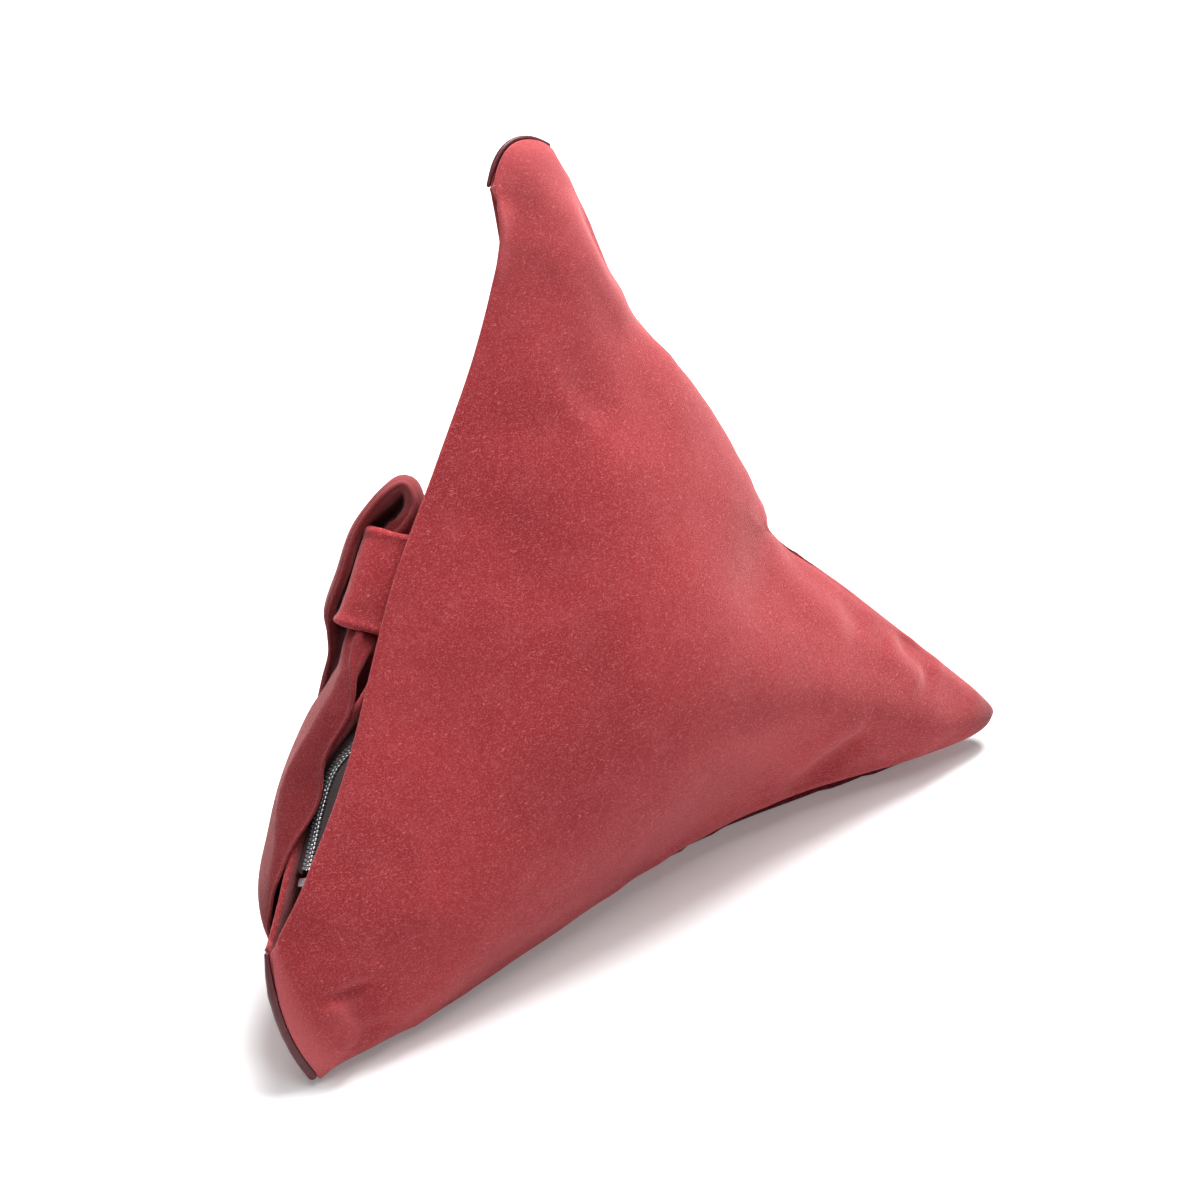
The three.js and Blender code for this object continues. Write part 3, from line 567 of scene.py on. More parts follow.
backCreases = [
    crease([(300, 14), (288, 23.5), (276, 36.4), (269, 46), (258, 56)], 5.0, 2.0, wearAndHighlight=0.25),
    crease([(296, 24), (286, 33), (276, 44), (272, 49)], 5.0, -1.8),
    crease([(290, -6.5), (274, -4.6), (258, -2.5)], 3.0, 1.0, wearAndHighlight=0.2),
    crease([(206, 138), (194, 152), (188, 161.5), (179, 179.5), (171, 196)], 9.0, 1.5, wearAndHighlight=0.1),
    crease([(208, 147), (199, 160), (191, 173), (183, 190), (176, 206)], 9.0, -1.3),
    crease([(174, 210), (167.6, 222), (159.6, 238)], 7.0, 1.4, wearAndHighlight=0.1),
    crease([(177, 222), (170, 234), (163, 246)], 5.0, -1.6),
    crease([(138, 216), (133, 211), (117, 201), (104, 194)], 7.0, -3.4),
    crease([(146, 206), (133, 196), (116, 186)], 9.0, 1.5),
    crease([(12, 4), (8, 6.4), (0.8, 10.2), (-8, 18)], 5.5, 3.6, wearAndHighlight=0.3, fade=0.2, seamFade=0.2),
    crease([(20, 8), (12, 12), (5, 18), (-3, 27)], 6.5, -4.6, fade=0.2, seamFade=0.2),
]
frontCreases = [
    crease(
        [(228, 108), (214, 126), (205, 138), (199, 152), (190, 178), (182, 206)], 13.0, -3.2, seamFade=0.12),
]


def softCap(value, most):
    return most * np.tanh(value / most)


def aboveSeam(points, u, v, front):
    height = ((points - place(u, v, pinch(u, v))) @ axisN) * sideOf(front) - bagForm["seamGap"] / 2
    return np.maximum(height, 0.01)


def makePanel(front):
    rows, columns = panelSet["rows"], panelSet["columns"]
    s = np.linspace(0, 1, rows)[:, None]
    x = columnSpread(columns)[None, :]
    outer, flat = faceGrid(s, x, front)
    u, v = flat[..., 0], flat[..., 1]
    sGrid, xGrid = np.broadcast_arrays(s, x)
    toEnd, toSeam = np.minimum(sGrid, 1 - sGrid), 1 - xGrid
    edgeFree = smoothStep(toEnd, 0, panelSet["edgeHold"]) * smoothStep(xGrid, 0, panelSet["edgeHold"])
    edgeFree *= smoothStep(toSeam, 0, panelSet["seamHold"][front])
    offFloor = smoothStep(outer[..., 2], *panelSet["floorFree"]) if front else 1.0
    free = edgeFree * offFloor
    moved = spreadOut(swell(outer[::2, ::2], 1 - free[::2, ::2], front), outer.shape[:2])
    size = np.linalg.norm(moved, axis=-1)
    most = np.minimum(panelSet["simCap"], panelSet["sinkShare"] * aboveSeam(outer, u, v, front))
    outer = outer + moved * (softCap(size, most) / np.maximum(size, 1e-9))[..., None]
    normal = gridNormals(outer, front)
    lift = panelSet["lumpHeight"] * softLumps(outer, panelSet["lumpWave"], 3 + front) * free
    fromSeam = toSeam * np.linalg.norm(flat[:, -1:] - flat[:, :1], axis=-1)
    nearSeam = bell(fromSeam, panelSet["puckerReach"]) * smoothStep(toSeam, 0, panelSet["puckerFade"])
    pucker = panelSet["puckerHeight"][front] * softLumps(outer, panelSet["puckerWave"], 11 + front)
    lift += pucker * nearSeam * offFloor
    # Paler towards the top end, partly wear and partly painted light on the up-facing end, and a painted
    # highlight along the upper ridge seam
    topWearAndLight, topReach = panelSet["topWearAndLight"]
    ridgeHighlight, ridgeReach = panelSet["ridgeHighlight"]
    wearAndHighlight = topWearAndLight * bell((1 - sGrid) * mouthRun, topReach)
    wearAndHighlight = wearAndHighlight + ridgeHighlight * bell(fromSeam, ridgeReach) * smoothStep(sGrid, *panelSet["ridgeFrom"])
    for fold in frontCreases if front else backCreases:
        far, share = lineDistance(u, v, fold["line"])
        taper = smoothStep(share, 0, fold["fade"]) * smoothStep(1 - share, 0, fold["fade"])
        ridge = bell(far, fold["width"]) * taper * smoothStep(toEnd, 0, panelSet["creaseEnd"])
        lift += fold["height"] * ridge * smoothStep(toSeam, 0, fold["seamFade"])
        # Crease ridges get a painted highlight, partly rubbed nap
        wearAndHighlight += fold["wearAndHighlight"] * ridge
    above = aboveSeam(outer, u, v, front)
    lift = np.where(lift < 0, -softCap(-lift, panelSet["sinkShare"] * above), softCap(lift, above))
    outer = outer + normal * lift[..., None]
    outer[..., 2] = np.maximum(outer[..., 2], 0)
    least, room = panelSet["edgeThick"], panelSet["innerRoom"]
    thin = least + (bagForm["suedeThick"] - least) * smoothStep(toSeam, 0, panelSet["edgeTaper"])
    thin = np.minimum(thin, room[0] + room[1] * aboveSeam(outer, u, v, front))
    inner = outer - gridNormals(outer, front) * thin[..., None]
    inner[..., 2] = np.maximum(inner[..., 2], thin)
    # Darker and a little glossier towards the far tip
    tip = outlinePoints(bagForm["seamOutline"])[bagForm["tipCorner"]]
    tipDarkShare, tipDarkReach = panelSet["tipDarkening"]
    tipDark = bell(np.hypot(u - tip[0], v - tip[1]), tipDarkReach) * tipDarkShare
    raw = panelSet["rawPale"] * bell(sGrid * panelSet["rawSpan"], panelSet["rawReach"])
    piece = skinMesh(sideWord(front) + "Suede", outer, inner, {"wearAndHighlight": wearAndHighlight, "tipDark": tipDark, "raw": raw})
    attach(piece, sideWord(front) + "_panel")
    return piece, inner


backSuede, backInner = makePanel(False)
frontSuede, frontInner = makePanel(True)
print("panels made")

liningSet = {
    "rows": (0.165, 0.835),
    "across": (0.085, 0.854),
    "gap": 1.0,
    "thick": 0.6,
    "below": 27.0,
    "steps": 44,
    "smooth": 6,
    "flat": ((0.21, 0.25, 0.0266), (0.25, 0.27, 0.0385)),
}


# A thin layer inside a panel, from below the tape to short of the seam
def makeLining(front, inner):
    rows, columns = inner.shape[:2]
    first, last = (round(share * (rows - 1)) for share in liningSet["rows"])
    x = columnSpread(columns)
    points, normals = [], []
    normal = gridNormals(inner, front)
    for _ in range(liningSet["smooth"]):
        normal[1:-1, 1:-1] += normal[:-2, 1:-1] + normal[2:, 1:-1] + normal[1:-1, :-2] + normal[1:-1, 2:]
        normal /= np.linalg.norm(normal, axis=-1, keepdims=True)
    for i in range(first, last + 1, 2):
        s = i / (rows - 1)
        span = np.linalg.norm(inPlane(s, 1.0) - inPlane(s, 0.0))
        start, stop = max(liningSet["across"][0], liningSet["below"] / span), liningSet["across"][1]
        at = np.linspace(start, stop, liningSet["steps"])
        points.append(between(at, x, inner[i]))
        normals.append(between(at, x, normal[i]))
    points, normals = np.array(points), np.array(normals)
    layers = []
    for deep in (liningSet["gap"], liningSet["gap"] + liningSet["thick"]):
        layer = points - normals * deep
        floor = bagForm["suedeThick"] + deep
        layer += (np.maximum(0, floor - layer[..., 2]) / axisN[2])[..., None] * axisN
        layers.append(layer)
    side = sideWord(front)
    piece = attach(skinMesh(side + "Lining", *layers, rimSteps=2), side + "_lining")
    return piece


linings = [makeLining(False, backInner), makeLining(True, frontInner)]
print("linings made")


pipingSet = {
    "radius": (1.7, 1.0),
    "seat": (1.2, 0.7),
    "thinner": (0.45, 0.25),
    "thinTo": 0.3,
    "span": (0.02, 0.94),
    "slopeStep": 0.01,
    "steps": 110,
    "sides": 18,
    "uneven": 0.04,
    "unevenWave": 9.0,
    "capSteps": 5,
    "capTip": 0.05,
    "ringUp": (0.1, 1.0, 0.2),
}


# Tube along a path, with rounded ends
def tubeMesh(name, path, radii):
    sides, capSteps = pipingSet["sides"], pipingSet["capSteps"]
    ahead = np.gradient(path, axis=0)
    ahead /= np.linalg.norm(ahead, axis=1, keepdims=True)
    turns = np.linspace(0, 2 * np.pi, sides, endpoint=False)

    def ring(centre, way, size):
        side = unit(np.cross(way, pipingSet["ringUp"]))
        other = np.cross(side, way)
        return centre + size * (np.cos(turns)[:, None] * side + np.sin(turns)[:, None] * other)

    def cap(end, out):
        rings = []
        for turn in np.arange(capSteps) * (math.pi / 2 / capSteps):
            shift = out * ahead[end] * radii[end] * math.cos(turn)
            size = radii[end] * max(math.sin(turn), pipingSet["capTip"])
            rings.append(ring(path[end] + shift, ahead[end], size))
        return rings
    rings = cap(0, -1) + [ring(*spot) for spot in zip(path, ahead, radii)] + cap(-1, 1)[::-1]
    count = len(rings)
    faces = gridFaces(count, sides, closedColumns=True)
    faces.append(tuple(range(sides))[::-1])
    faces.append(tuple((count - 1) * sides + k for k in range(sides)))
    return makeObject(name, np.vstack(rings), faces)


def makePiping(end):
    x = np.linspace(*pipingSet["span"], pipingSet["steps"])
    at, step = float(end), pipingSet["slopeStep"]
    along = inPlane(at, np.minimum(x + step, 1)) - inPlane(at, np.maximum(x - step, 0))
    along /= np.linalg.norm(along, axis=1, keepdims=True)
    out = np.stack([along[:, 1], -along[:, 0]], axis=1) * (1 if end else -1)
    u, v = (inPlane(at, x) + out * pipingSet["seat"][end]).T
    path = place(u, v, pinch(u, v))
    lumps = softLumps(path, pipingSet["unevenWave"], 40 + end)
    radii = pipingSet["radius"][end] * (1 + pipingSet["uneven"] * lumps)
    radii *= 1 - pipingSet["thinner"][end] * (1 - smoothStep(x, 0.0, pipingSet["thinTo"]))
    word = "upper" if end else "lower"
    return attach(tubeMesh(word + "Piping", path, radii), word + "_end_piping")


pipings = [makePiping(0), makePiping(1)]
print("piping made")

# Zip: the chain's line, two rows of teeth, tapes, stops, slider and pull
zipSet = {
    "top": (0.906, 11.0),
    "bend": (0.342, 3.0),
    "spans": 7,
    "lower": [
        (0.31, -4, -4.2), (0.277, -7.5, -7.8), (0.2355, -8.6, -8), (0.1935, -10.2, -4.8), (0.161, -12, -1.6)],
    "perSpan": 40,
    "pitch": 4.4 / 3,
    "headingStep": 0.4,
    "headWide": 0.56,
    "rootWide": 1.0,
    "overlap": 0.75,
    "reach": 2.2,
    "thick": 2.4,
    "bevel": 0.16,
    "tapeThick": 0.7,
    "tapeFlange": 8.0,
    "tapeSeat": 0.6,
    "tapeFlat": (0.014, 0.017),
    "tapeSteps": (150, 5, 7),
    "neckRoom": 0.15,
    "neckSlope": 0.25,
    "slopeStep": 0.05,
    "weld": 0.006,
    "sharpDegrees": 35.0,
    "flatDegrees": 2.0,
}


def centripetal(points, perSpan):
    points = np.asarray(points, float)
    ends = np.vstack([2 * points[0] - points[1], points, 2 * points[-1] - points[-2]])
    line = []
    for k in range(len(points) - 1):
        a, b, c, d = ends[k:k + 4]
        t = [np.linalg.norm(q - p) ** 0.5 for p, q in ((a, b), (b, c), (c, d))]
        start = ((b - a) / t[0] - (c - a) / (t[0] + t[1]) + (c - b) / t[1]) * t[1]
        end = ((c - b) / t[1] - (d - b) / (t[1] + t[2]) + (d - c) / t[2]) * t[1]
        w = np.linspace(0, 1, perSpan, endpoint=k == len(points) - 2)[:, None]
        line.append(hermite(b, c, start, end, w))
    return np.vstack(line)


def chainLine():
    points = []
    for i in range(zipSet["spans"] + 1):
        share = i / zipSet["spans"]
        along, v = (a + (b - a) * share for a, b in zip(zipSet["top"], zipSet["bend"]))
        points.append((along * mouthLength, v, 0))
    points += [(along * mouthLength, v, n) for along, v, n in zipSet["lower"]]
    line = centripetal(points, zipSet["perSpan"])
    return line, runAlong(line)


chain, chainRun = chainLine()
chainLength = chainRun[-1]


def chainAt(along):
    return between(np.clip(along, 0, chainLength), chainRun, chain)


# One tooth: a broad root that narrows to its head, with bevelled edges
def toothShape():
    work = bmesh.new()
    head, root, reach = zipSet["headWide"] / 2, zipSet["rootWide"] / 2, zipSet["reach"]
    over = zipSet["overlap"]
    neck = over + zipSet["neckRoom"]
    shoulder = neck + zipSet["neckSlope"]
    profile = [(-root, reach), (-root, shoulder), (-head, neck), (-head, -over),
               (head, -over), (head, neck), (root, shoulder), (root, reach)]
    half = zipSet["thick"] / 2
    low = work.faces.new([work.verts.new((a, b, -half)) for a, b in profile])
    grown = bmesh.ops.extrude_face_region(work, geom=[low])
    for item in grown["geom"]:
        if isinstance(item, bmesh.types.BMVert):
            item.co.z = half
    bmesh.ops.recalc_face_normals(work, faces=work.faces)
    bmesh.ops.bevel(work, geom=list(work.edges), offset=zipSet["bevel"], segments=1, affect="EDGES")
    work.verts.index_update()
    points = np.array([v.co for v in work.verts])
    faces = [tuple(v.index for v in f.verts) for f in work.faces]
    work.free()
    return points, faces


def makeTeeth(front):
    shape, shapeFaces = toothShape()
    pitch = zipSet["pitch"]
    count = int(chainLength / pitch) - 1
    vertices, faces = [], []
    for k in range(count):
        along = (k + (1.0 if front else 0.5)) * pitch
        centre = chainAt(along)
        ahead = unit(chainAt(along + zipSet["headingStep"]) - chainAt(along - zipSet["headingStep"]))
        spots = centre + shape[:, :1] * ahead + shape[:, 1:2] * np.array([0, 0, sideOf(front)])
        spots = spots + shape[:, 2:] * np.array([0, 1, 0])
        first = k * len(shape)
        vertices.append(place(spots[:, 0], spots[:, 1], spots[:, 2]))
        faces += [tuple(first + c for c in f) for f in shapeFaces]
    side = sideWord(front)
    piece = makeObject("zipTeeth" + side.title(), np.vstack(vertices), faces)
    piece.data.shade_flat()
    return attach(piece, "zip_teeth_" + side)


def innerFace(u, v, front):
    step = zipSet["slopeStep"]
    across = (fullness(u, v + step, front) - fullness(u, v - step, front)) / (2 * step)
    upwards = (fullness(u + step, v, front) - fullness(u - step, v, front)) / (2 * step)
    inward = bagForm["suedeThick"] * np.sqrt(1 + across ** 2 + upwards ** 2)
    return sideOf(front) * (bagForm["seamGap"] / 2 + fullness(u, v, front) - inward) + pinch(u, v)


def makeTape(front):
    count, reachSteps, flangeSteps = zipSet["tapeSteps"]
    u, v, n = chainAt(np.linspace(0, chainLength, count)).T
    thick, side = zipSet["tapeThick"], sideOf(front)
    half = thick / 2
    start = n + side * (zipSet["reach"] + zipSet["tapeSeat"])

    def seat(depth):
        return innerFace(u, v + depth, front) - side * zipSet["tapeSeat"]
    top, low = [], []
    for share in np.arange(reachSteps) / reachSteps:
        top.append(place(u, v - half, start + (seat(-half) - start) * share))
        low.append(place(u, v + half, start + (seat(half) - side * thick - start) * share))
    for depth in np.linspace(0, zipSet["tapeFlange"], flangeSteps):
        under = max(depth, half)
        top.append(place(u, v + depth, seat(depth)))
        low.append(place(u, v + under, seat(under) - side * thick))
    word = sideWord(front)
    piece = skinMesh("zipTape" + word.title(), np.stack(top, axis=1), np.stack(low, axis=1), rimSteps=3)
    attach(piece, "zip_tape_" + word)
    return piece


# Hard pieces keep their form and get softened edges
def softenedCopy(node, name, width, body="bag"):
    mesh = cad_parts[node].data.copy()
    mesh.materials.clear()
    work = bmesh.new()
    work.from_mesh(mesh)
    bmesh.ops.remove_doubles(work, verts=work.verts, dist=1e-6)
    flat = math.radians(zipSet["flatDegrees"])
    bmesh.ops.dissolve_limit(work, angle_limit=flat, verts=work.verts, edges=work.edges)
    work.to_mesh(mesh)
    work.free()
    piece = bpy.data.objects.new(name, mesh)
    bpy.context.scene.collection.objects.link(piece)
    bevel = piece.modifiers.new("softEdges", "BEVEL")
    bevel.width = width * millimetre
    bevel.segments = 2
    bevel.limit_method = "ANGLE"
    bevel.angle_limit = math.radians(zipSet["sharpDegrees"])
    bevel.use_clamp_overlap = False
    weld = piece.modifiers.new("joinedPoints", "WELD")
    weld.merge_threshold = zipSet["weld"] * millimetre
    mesh.shade_flat()
    return attach(piece, node, body)


zipTeeth = [makeTeeth(False), makeTeeth(True)]
zipTapes = [makeTape(False), makeTape(True)]
zipMetal = [
    softenedCopy("zip_lower_stop", "zipLowerStop", 0.3),
    softenedCopy("zip_upper_stop_front", "zipUpperStopFront", 0.25),
    softenedCopy("zip_upper_stop_back", "zipUpperStopBack", 0.25),
    softenedCopy("zip_slider", "zipSlider", 0.045, "slider"),
    softenedCopy("zip_pull", "zipPull", 0.11, "pull"),
]
print("zip made")

# Sash and keeper, in a frame on the front face: across runs away from the mouth, lift runs out
faceAngle = math.radians(47)
faceBase = (-2.0, -15.0)
facePasses = 9
faceSlope = 1.45
keeperSet = {
    "centre": 0.49 * mouthLength,
    "height": 33.0,
    "wall": 2.0,
    "inner": (26.5, 13.0),
    "corner": 4.2,
    "across": 13.0,
    "seat": 0.25,
    "puff": 0.9,
    "hem": 0.7,
    "hemReach": 0.055,
    "flare": 2.4,
    "rows": 44,
    "around": 120,
    "cornerSteps": 8,
    "rimSteps": 4,
    "rimOut": 0.9,
    "sidePuff": 0.8,
    "flat": (0.033, 0.087),
}
sashSet = {
    "thick": 2.4,
    "rows": 260,
    "columns": 72,
    "edgeHold": 0.8,
    "edgeCurl": 1.8,
    "edgeThin": 0.9,
    "slopeStep": 1e-4,
    "overKeeper": 2.7,
    "gather": 4.5,
    # Painted highlight on the loop's top, where light falls
    "loopTopLight": 0.8,
    "loopTopLightAt": (0.583, 0.05),
    "flat": (0.063, 0.285),
}
keeperLift = keeperSet["seat"] + keeperSet["wall"] + keeperSet["inner"][1] / 2
keeperTop = keeperLift + keeperSet["inner"][1] / 2 + keeperSet["wall"]
overKeeper = keeperTop + sashSet["thick"] / 2 + sashSet["overKeeper"]
gatherWidth = keeperSet["inner"][0] - sashSet["gather"]
sashSeat = sashSet["thick"] / 2 + keeperSet["seat"]


# Rows of the sash: u, lift, across, width, crown, pleat, tilt, and its depth to each side
def sashStations():
    mid, tall, side = keeperSet["centre"], keeperSet["height"], keeperSet["across"]
    wide = gatherWidth
    return np.array([
        (0.042 * mouthLength, sashSeat + 0.5, 13, 28, 1, 0, 0, 1.6, 1.2),
        (0.077 * mouthLength, sashSeat + 1, 13, 46, 5, 0, 0, 2.0, 1.2),
        (0.129 * mouthLength, sashSeat + 0.8, 14.2, 61, 10.2, 0, 0, 2.4, 1.2),
        (0.194 * mouthLength, sashSeat + 0.2, 17.1, 62.8, 12.4, 0, 0, 2.6, 1.2),
        (0.274 * mouthLength, sashSeat + 0.6, 17.6, 57.8, 12, 0.1, 0, 2.8, 1.2),
        (0.34 * mouthLength, sashSeat + 1.8, 13.5, 50, 10.8, 0.2, 0, 3.2, 1.8),
        (mid - tall * 1.0, keeperLift - 2.6, side - 1, 40, 5.4, 0.3, 0, 4.2, 4.4),
        (mid - tall * 0.74, keeperLift + 0.2, side - 1, wide + 8, 1.2, 0.4, 0, 5.0, 6.2),
        (mid - tall * 0.44, keeperLift, side - 0.5, wide + 1, 0, 0.7, 0, 5.5, 5.6),
        (mid, keeperLift, side, wide, 0, 0.8, 0, 5.0, 5.0),
        (mid + tall * 0.44, keeperLift - 0.3, side, wide, 0, 0.7, 0.2, 5.2, 5.2),
        (mid + tall * 0.54, keeperLift - 0.5, side, wide + 1, 0, 0.6, 2.0, 5.4, 4.8),
        (mid + tall * 0.66, keeperLift - 2.0, side, wide + 3, 0, 0.6, 2.2, 4.8, 4.0),
        (mid + tall * 0.85, keeperLift - 1.6, side, wide + 5, 0, 0.4, 3.0, 3.8, 3.8),
        (mid + tall, keeperLift + 2.1, side, wide + 6, -0.5, 0.4, 2.2, 3.3, 3.2),
        (mid + tall * 0.8, keeperLift + 5.8, side, wide + 7, 0, 0.4, 3.0, 3.2, 3.2),
        (mid + tall * 0.45, overKeeper - 1.1, side + 1, wide + 8, 0, 0.4, 0.9, 2.2, 3.0),
        (mid, overKeeper - 0.2, side + 2, wide + 8, 0, 0.4, 0.2, 2.2, 2.8),
        (mid - tall * 0.45, overKeeper + 1, side + 5.5, wide + 8, 0, 0.3, 0, 1.8, 2.6),
        (mid - tall * 0.68, overKeeper - 0.4, 24, wide + 8, 3.4, 0.3, 0, 1.8, 2.4),
        (mid - tall * 0.9, overKeeper - 2.5, 32, wide + 8, 2, 0.2, 0, 1.6, 2.2),
        (0.361 * mouthLength, overKeeper - 3.5, 41, 31, 0, 0.2, 0, 1.4, 2.2),
        (0.297 * mouthLength, overKeeper - 5.5, 52, 32, 0, 0, 0, 1.2, 1.8),
        (0.232 * mouthLength, overKeeper - 9, 61, 32, 0, 0, 0, 1.2, 1.4),
        (0.174 * mouthLength, overKeeper - 12, 66, 30, 0, 0, 0, 1.2, 1.2),
    ])


def faceSpot(across, lift):
    v = faceBase[0] + across * math.cos(faceAngle) - lift * math.sin(faceAngle)
    n = faceBase[1] - across * math.sin(faceAngle) - lift * math.cos(faceAngle)
    return v, n


def faceLift(u, across):
    lift = np.zeros(np.broadcast(u, across).shape)
    for _ in range(facePasses):
        v, n = faceSpot(across, lift)
        lift = lift + (n + bagForm["seamGap"] / 2 + fullness(u, v, True) - pinch(u, v)) / faceSlope
    return lift


def onFace(u, across, lift, drop=0.0):
    v, n = faceSpot(across, lift)
    points = place(u, v, n)
    points[..., 2] -= drop
    return points


def faceDrop(u, across, lift):
    v, _ = faceSpot(across, lift)
    points = onFace(u, across, lift)
    return points[..., 2] - settle(points, fullness(u, v, True), onBase(u, v)[0])[..., 2]


# Where the front's mouth edge lies in this frame
def edgeAcross(u):
    v = np.interp(u, mouthLine[:, 0], mouthLine[:, 1])
    n = -(bagForm["seamGap"] / 2 + bagForm["suedeThick"] + gapHalf(u, True))
    return (v + frontDrop(u, v) - faceBase[0]) * math.cos(faceAngle) - (n - faceBase[1]) * math.sin(faceAngle)


def makeSash():
    rows, columns = sashSet["rows"], sashSet["columns"]
    stations = sashStations()
    t = np.linspace(0, 1, rows)

    def lineAt(at):
        return splineAt(stations[:, :3], at, extend=True)
    line = lineAt(t)
    form = splineAt(stations[:, 3:], t, extend=True)
    heading = lineAt(t + sashSet["slopeStep"]) - lineAt(t - sashSet["slopeStep"])
    normal = np.stack([-heading[:, 1], heading[:, 0]], axis=1)
    normal /= np.linalg.norm(normal, axis=1, keepdims=True)
    even = np.linspace(-1, 1, columns)[None, :]
    q = (even + np.sin(even * np.pi / 2)) / 2
    across = line[:, 2:3] + q * form[:, :1] / 2
    u = np.broadcast_to(line[:, :1], across.shape)
    edge = edgeAcross(u)
    overFace = np.maximum(across, edge + sashSet["edgeHold"])
    ground = faceLift(u, overFace)
    drop = faceDrop(u, overFace, ground)
    ground = ground - np.maximum(0, edge - across) ** 2 / (2 * sashSet["edgeCurl"])
    bend = form[:, 1:2] * (1 - q * q) + form[:, 2:3] * np.cos(1.5 * np.pi * (q + 1)) + form[:, 3:4] * q
    rounding = np.sqrt(1 - sashSet["edgeThin"] * q ** 8)

    def layer(side):
        lift = ground + line[:, 1:2] + normal[:, 1:] * (bend + side)
        return onFace(u + normal[:, :1] * (bend + side), across, lift, drop)
    outer, inner = layer(form[:, 4:5] * rounding), layer(-form[:, 5:] * rounding)
    # Painted highlight on the loop's top, where light falls
    loopTopCentre, loopTopReach = sashSet["loopTopLightAt"]
    loopTopLight = bell(t - loopTopCentre, loopTopReach)
    wearAndHighlight = np.broadcast_to(sashSet["loopTopLight"] * loopTopLight[:, None], outer.shape[:2])
    piece = attach(skinMesh("sashSuede", outer, inner, {"wearAndHighlight": wearAndHighlight}, rimSteps=6), "sash")
    return piece


# An evenly spaced loop around a rectangle with round corners
def roundedLoop(width, depth, radius, cornerSteps, sideSteps):
    w, d = width / 2, depth / 2
    points = []
    corners = [(w - radius, -d + radius, -90), (w - radius, d - radius, 0),
               (-w + radius, d - radius, 90), (-w + radius, -d + radius, 180)]
    for cx, cy, first in corners:
        for k in range(cornerSteps + 1):
            turn = math.radians(first + 90 * k / cornerSteps)
            points.append((cx + radius * math.cos(turn), cy + radius * math.sin(turn)))
    points = np.array(points)
    closed = np.vstack([points, points[:1]])
    run = runAlong(closed)
    return between(np.linspace(0, run[-1], sideSteps, endpoint=False), run, closed)


def makeKeeper():
    around, corner, wall = keeperSet["around"], keeperSet["corner"], keeperSet["wall"]
    wide, deep = keeperSet["inner"]
    centre = keeperSet["centre"]
    layers = []
    for outside in (True, False):
        grow = wall if outside else 0.0
        loop = roundedLoop(wide + 2 * grow, deep + 2 * grow, corner + grow, keeperSet["cornerSteps"], around)
        evenAcross = keeperSet["across"] + loop[:, 0]
        middle = faceLift(np.full(around, centre), evenAcross)
        upperSide = smoothStep(loop[:, 1], -deep / 2, deep / 2)
        grid = []
        for share in np.linspace(-0.5, 0.5, keeperSet["rows"]):
            u = np.full(around, centre + share * keeperSet["height"])
            ground = np.maximum(faceLift(u, evenAcross), middle)
            hem = keeperSet["hem"] * bell(0.5 - abs(share), keeperSet["hemReach"])
            proud = (keeperSet["puff"] * (1 - 4 * share * share) + hem) * outside
            flare = keeperSet["flare"] * max(0.0, -2 * share) ** 2
            lift = ground + keeperLift + loop[:, 1] + (proud + flare) * upperSide
            nearMouth = smoothStep(-loop[:, 0], 0, wide / 2)
            across = evenAcross - proud * nearMouth * keeperSet["sidePuff"]
            grid.append(onFace(u, across, lift))
        layers.append(np.array(grid))
    outer, inner = layers

    def rim(row, side):
        half, middle = (outer[row] - inner[row]) / 2, (outer[row] + inner[row]) / 2
        out = axisU * np.linalg.norm(half, axis=-1, keepdims=True) * keeperSet["rimOut"]
        turns = np.arange(1, keeperSet["rimSteps"]) * math.pi / keeperSet["rimSteps"]
        return [middle + side * (half * math.cos(turn) + out * math.sin(turn)) for turn in turns]
    grid = np.array(list(outer) + rim(-1, 1) + list(inner[::-1]) + rim(0, -1))
    faces = gridFaces(*grid.shape[:2], closedRows=True, closedColumns=True)
    piece = attach(makeObject("keeperSuede", grid.reshape(-1, 3), faces), "keeper_band")
    return piece


sashSuede = makeSash()
keeperSuede = makeKeeper()
print("sash and keeper made")


# Materials
def newGroup(name, inputs):
    tree = bpy.data.node_groups.new(name, "ShaderNodeTree")
    for label, value in inputs.items():
        kind = "NodeSocketColor" if isinstance(value, tuple) else "NodeSocketFloat"
        tree.interface.new_socket(label, in_out="INPUT", socket_type=kind).default_value = value
    for label in ("Colour", "Height", "Roughness"):
        kind = "NodeSocketColor" if label == "Colour" else "NodeSocketFloat"
        tree.interface.new_socket(label, in_out="OUTPUT", socket_type=kind)
    return tree, tree.nodes.new("NodeGroupInput").outputs


def finishGroup(tree, colour, height, rough):
    sink = tree.nodes.new("NodeGroupOutput")
    for label, source in (("Colour", colour), ("Height", height), ("Roughness", rough)):
        tree.links.new(source, sink.inputs[label])
    return tree


def addNode(tree, kind, links=None, **values):
    node = tree.nodes.new(kind)
    for key, value in values.items():
        setattr(node, key, value)
    for socket, source in (links or {}).items():
        if isinstance(source, (int, float, tuple)):
            node.inputs[socket].default_value = source
        else:
            tree.links.new(source, node.inputs[socket])
    return node


def mathNode(tree, operation, a, b=0.0, clamp=False):
    return addNode(tree, "ShaderNodeMath", {0: a, 1: b}, operation=operation, use_clamp=clamp).outputs[0]


def times(tree, a, b):
    return mathNode(tree, "MULTIPLY", a, b)


def vectorNode(tree, operation, links):
    return addNode(tree, "ShaderNodeVectorMath", links, operation=operation).outputs[0]


def mixColour(tree, share, a, b):
    return addNode(tree, "ShaderNodeMix", {0: share, 6: a, 7: b}, data_type="RGBA").outputs[2]


def rampNode(tree, source, low, high):
    links = {0: source, 1: low, 2: high, 3: 0.0, 4: 1.0}
    return addNode(tree, "ShaderNodeMapRange", links, interpolation_type="SMOOTHSTEP").outputs[0]


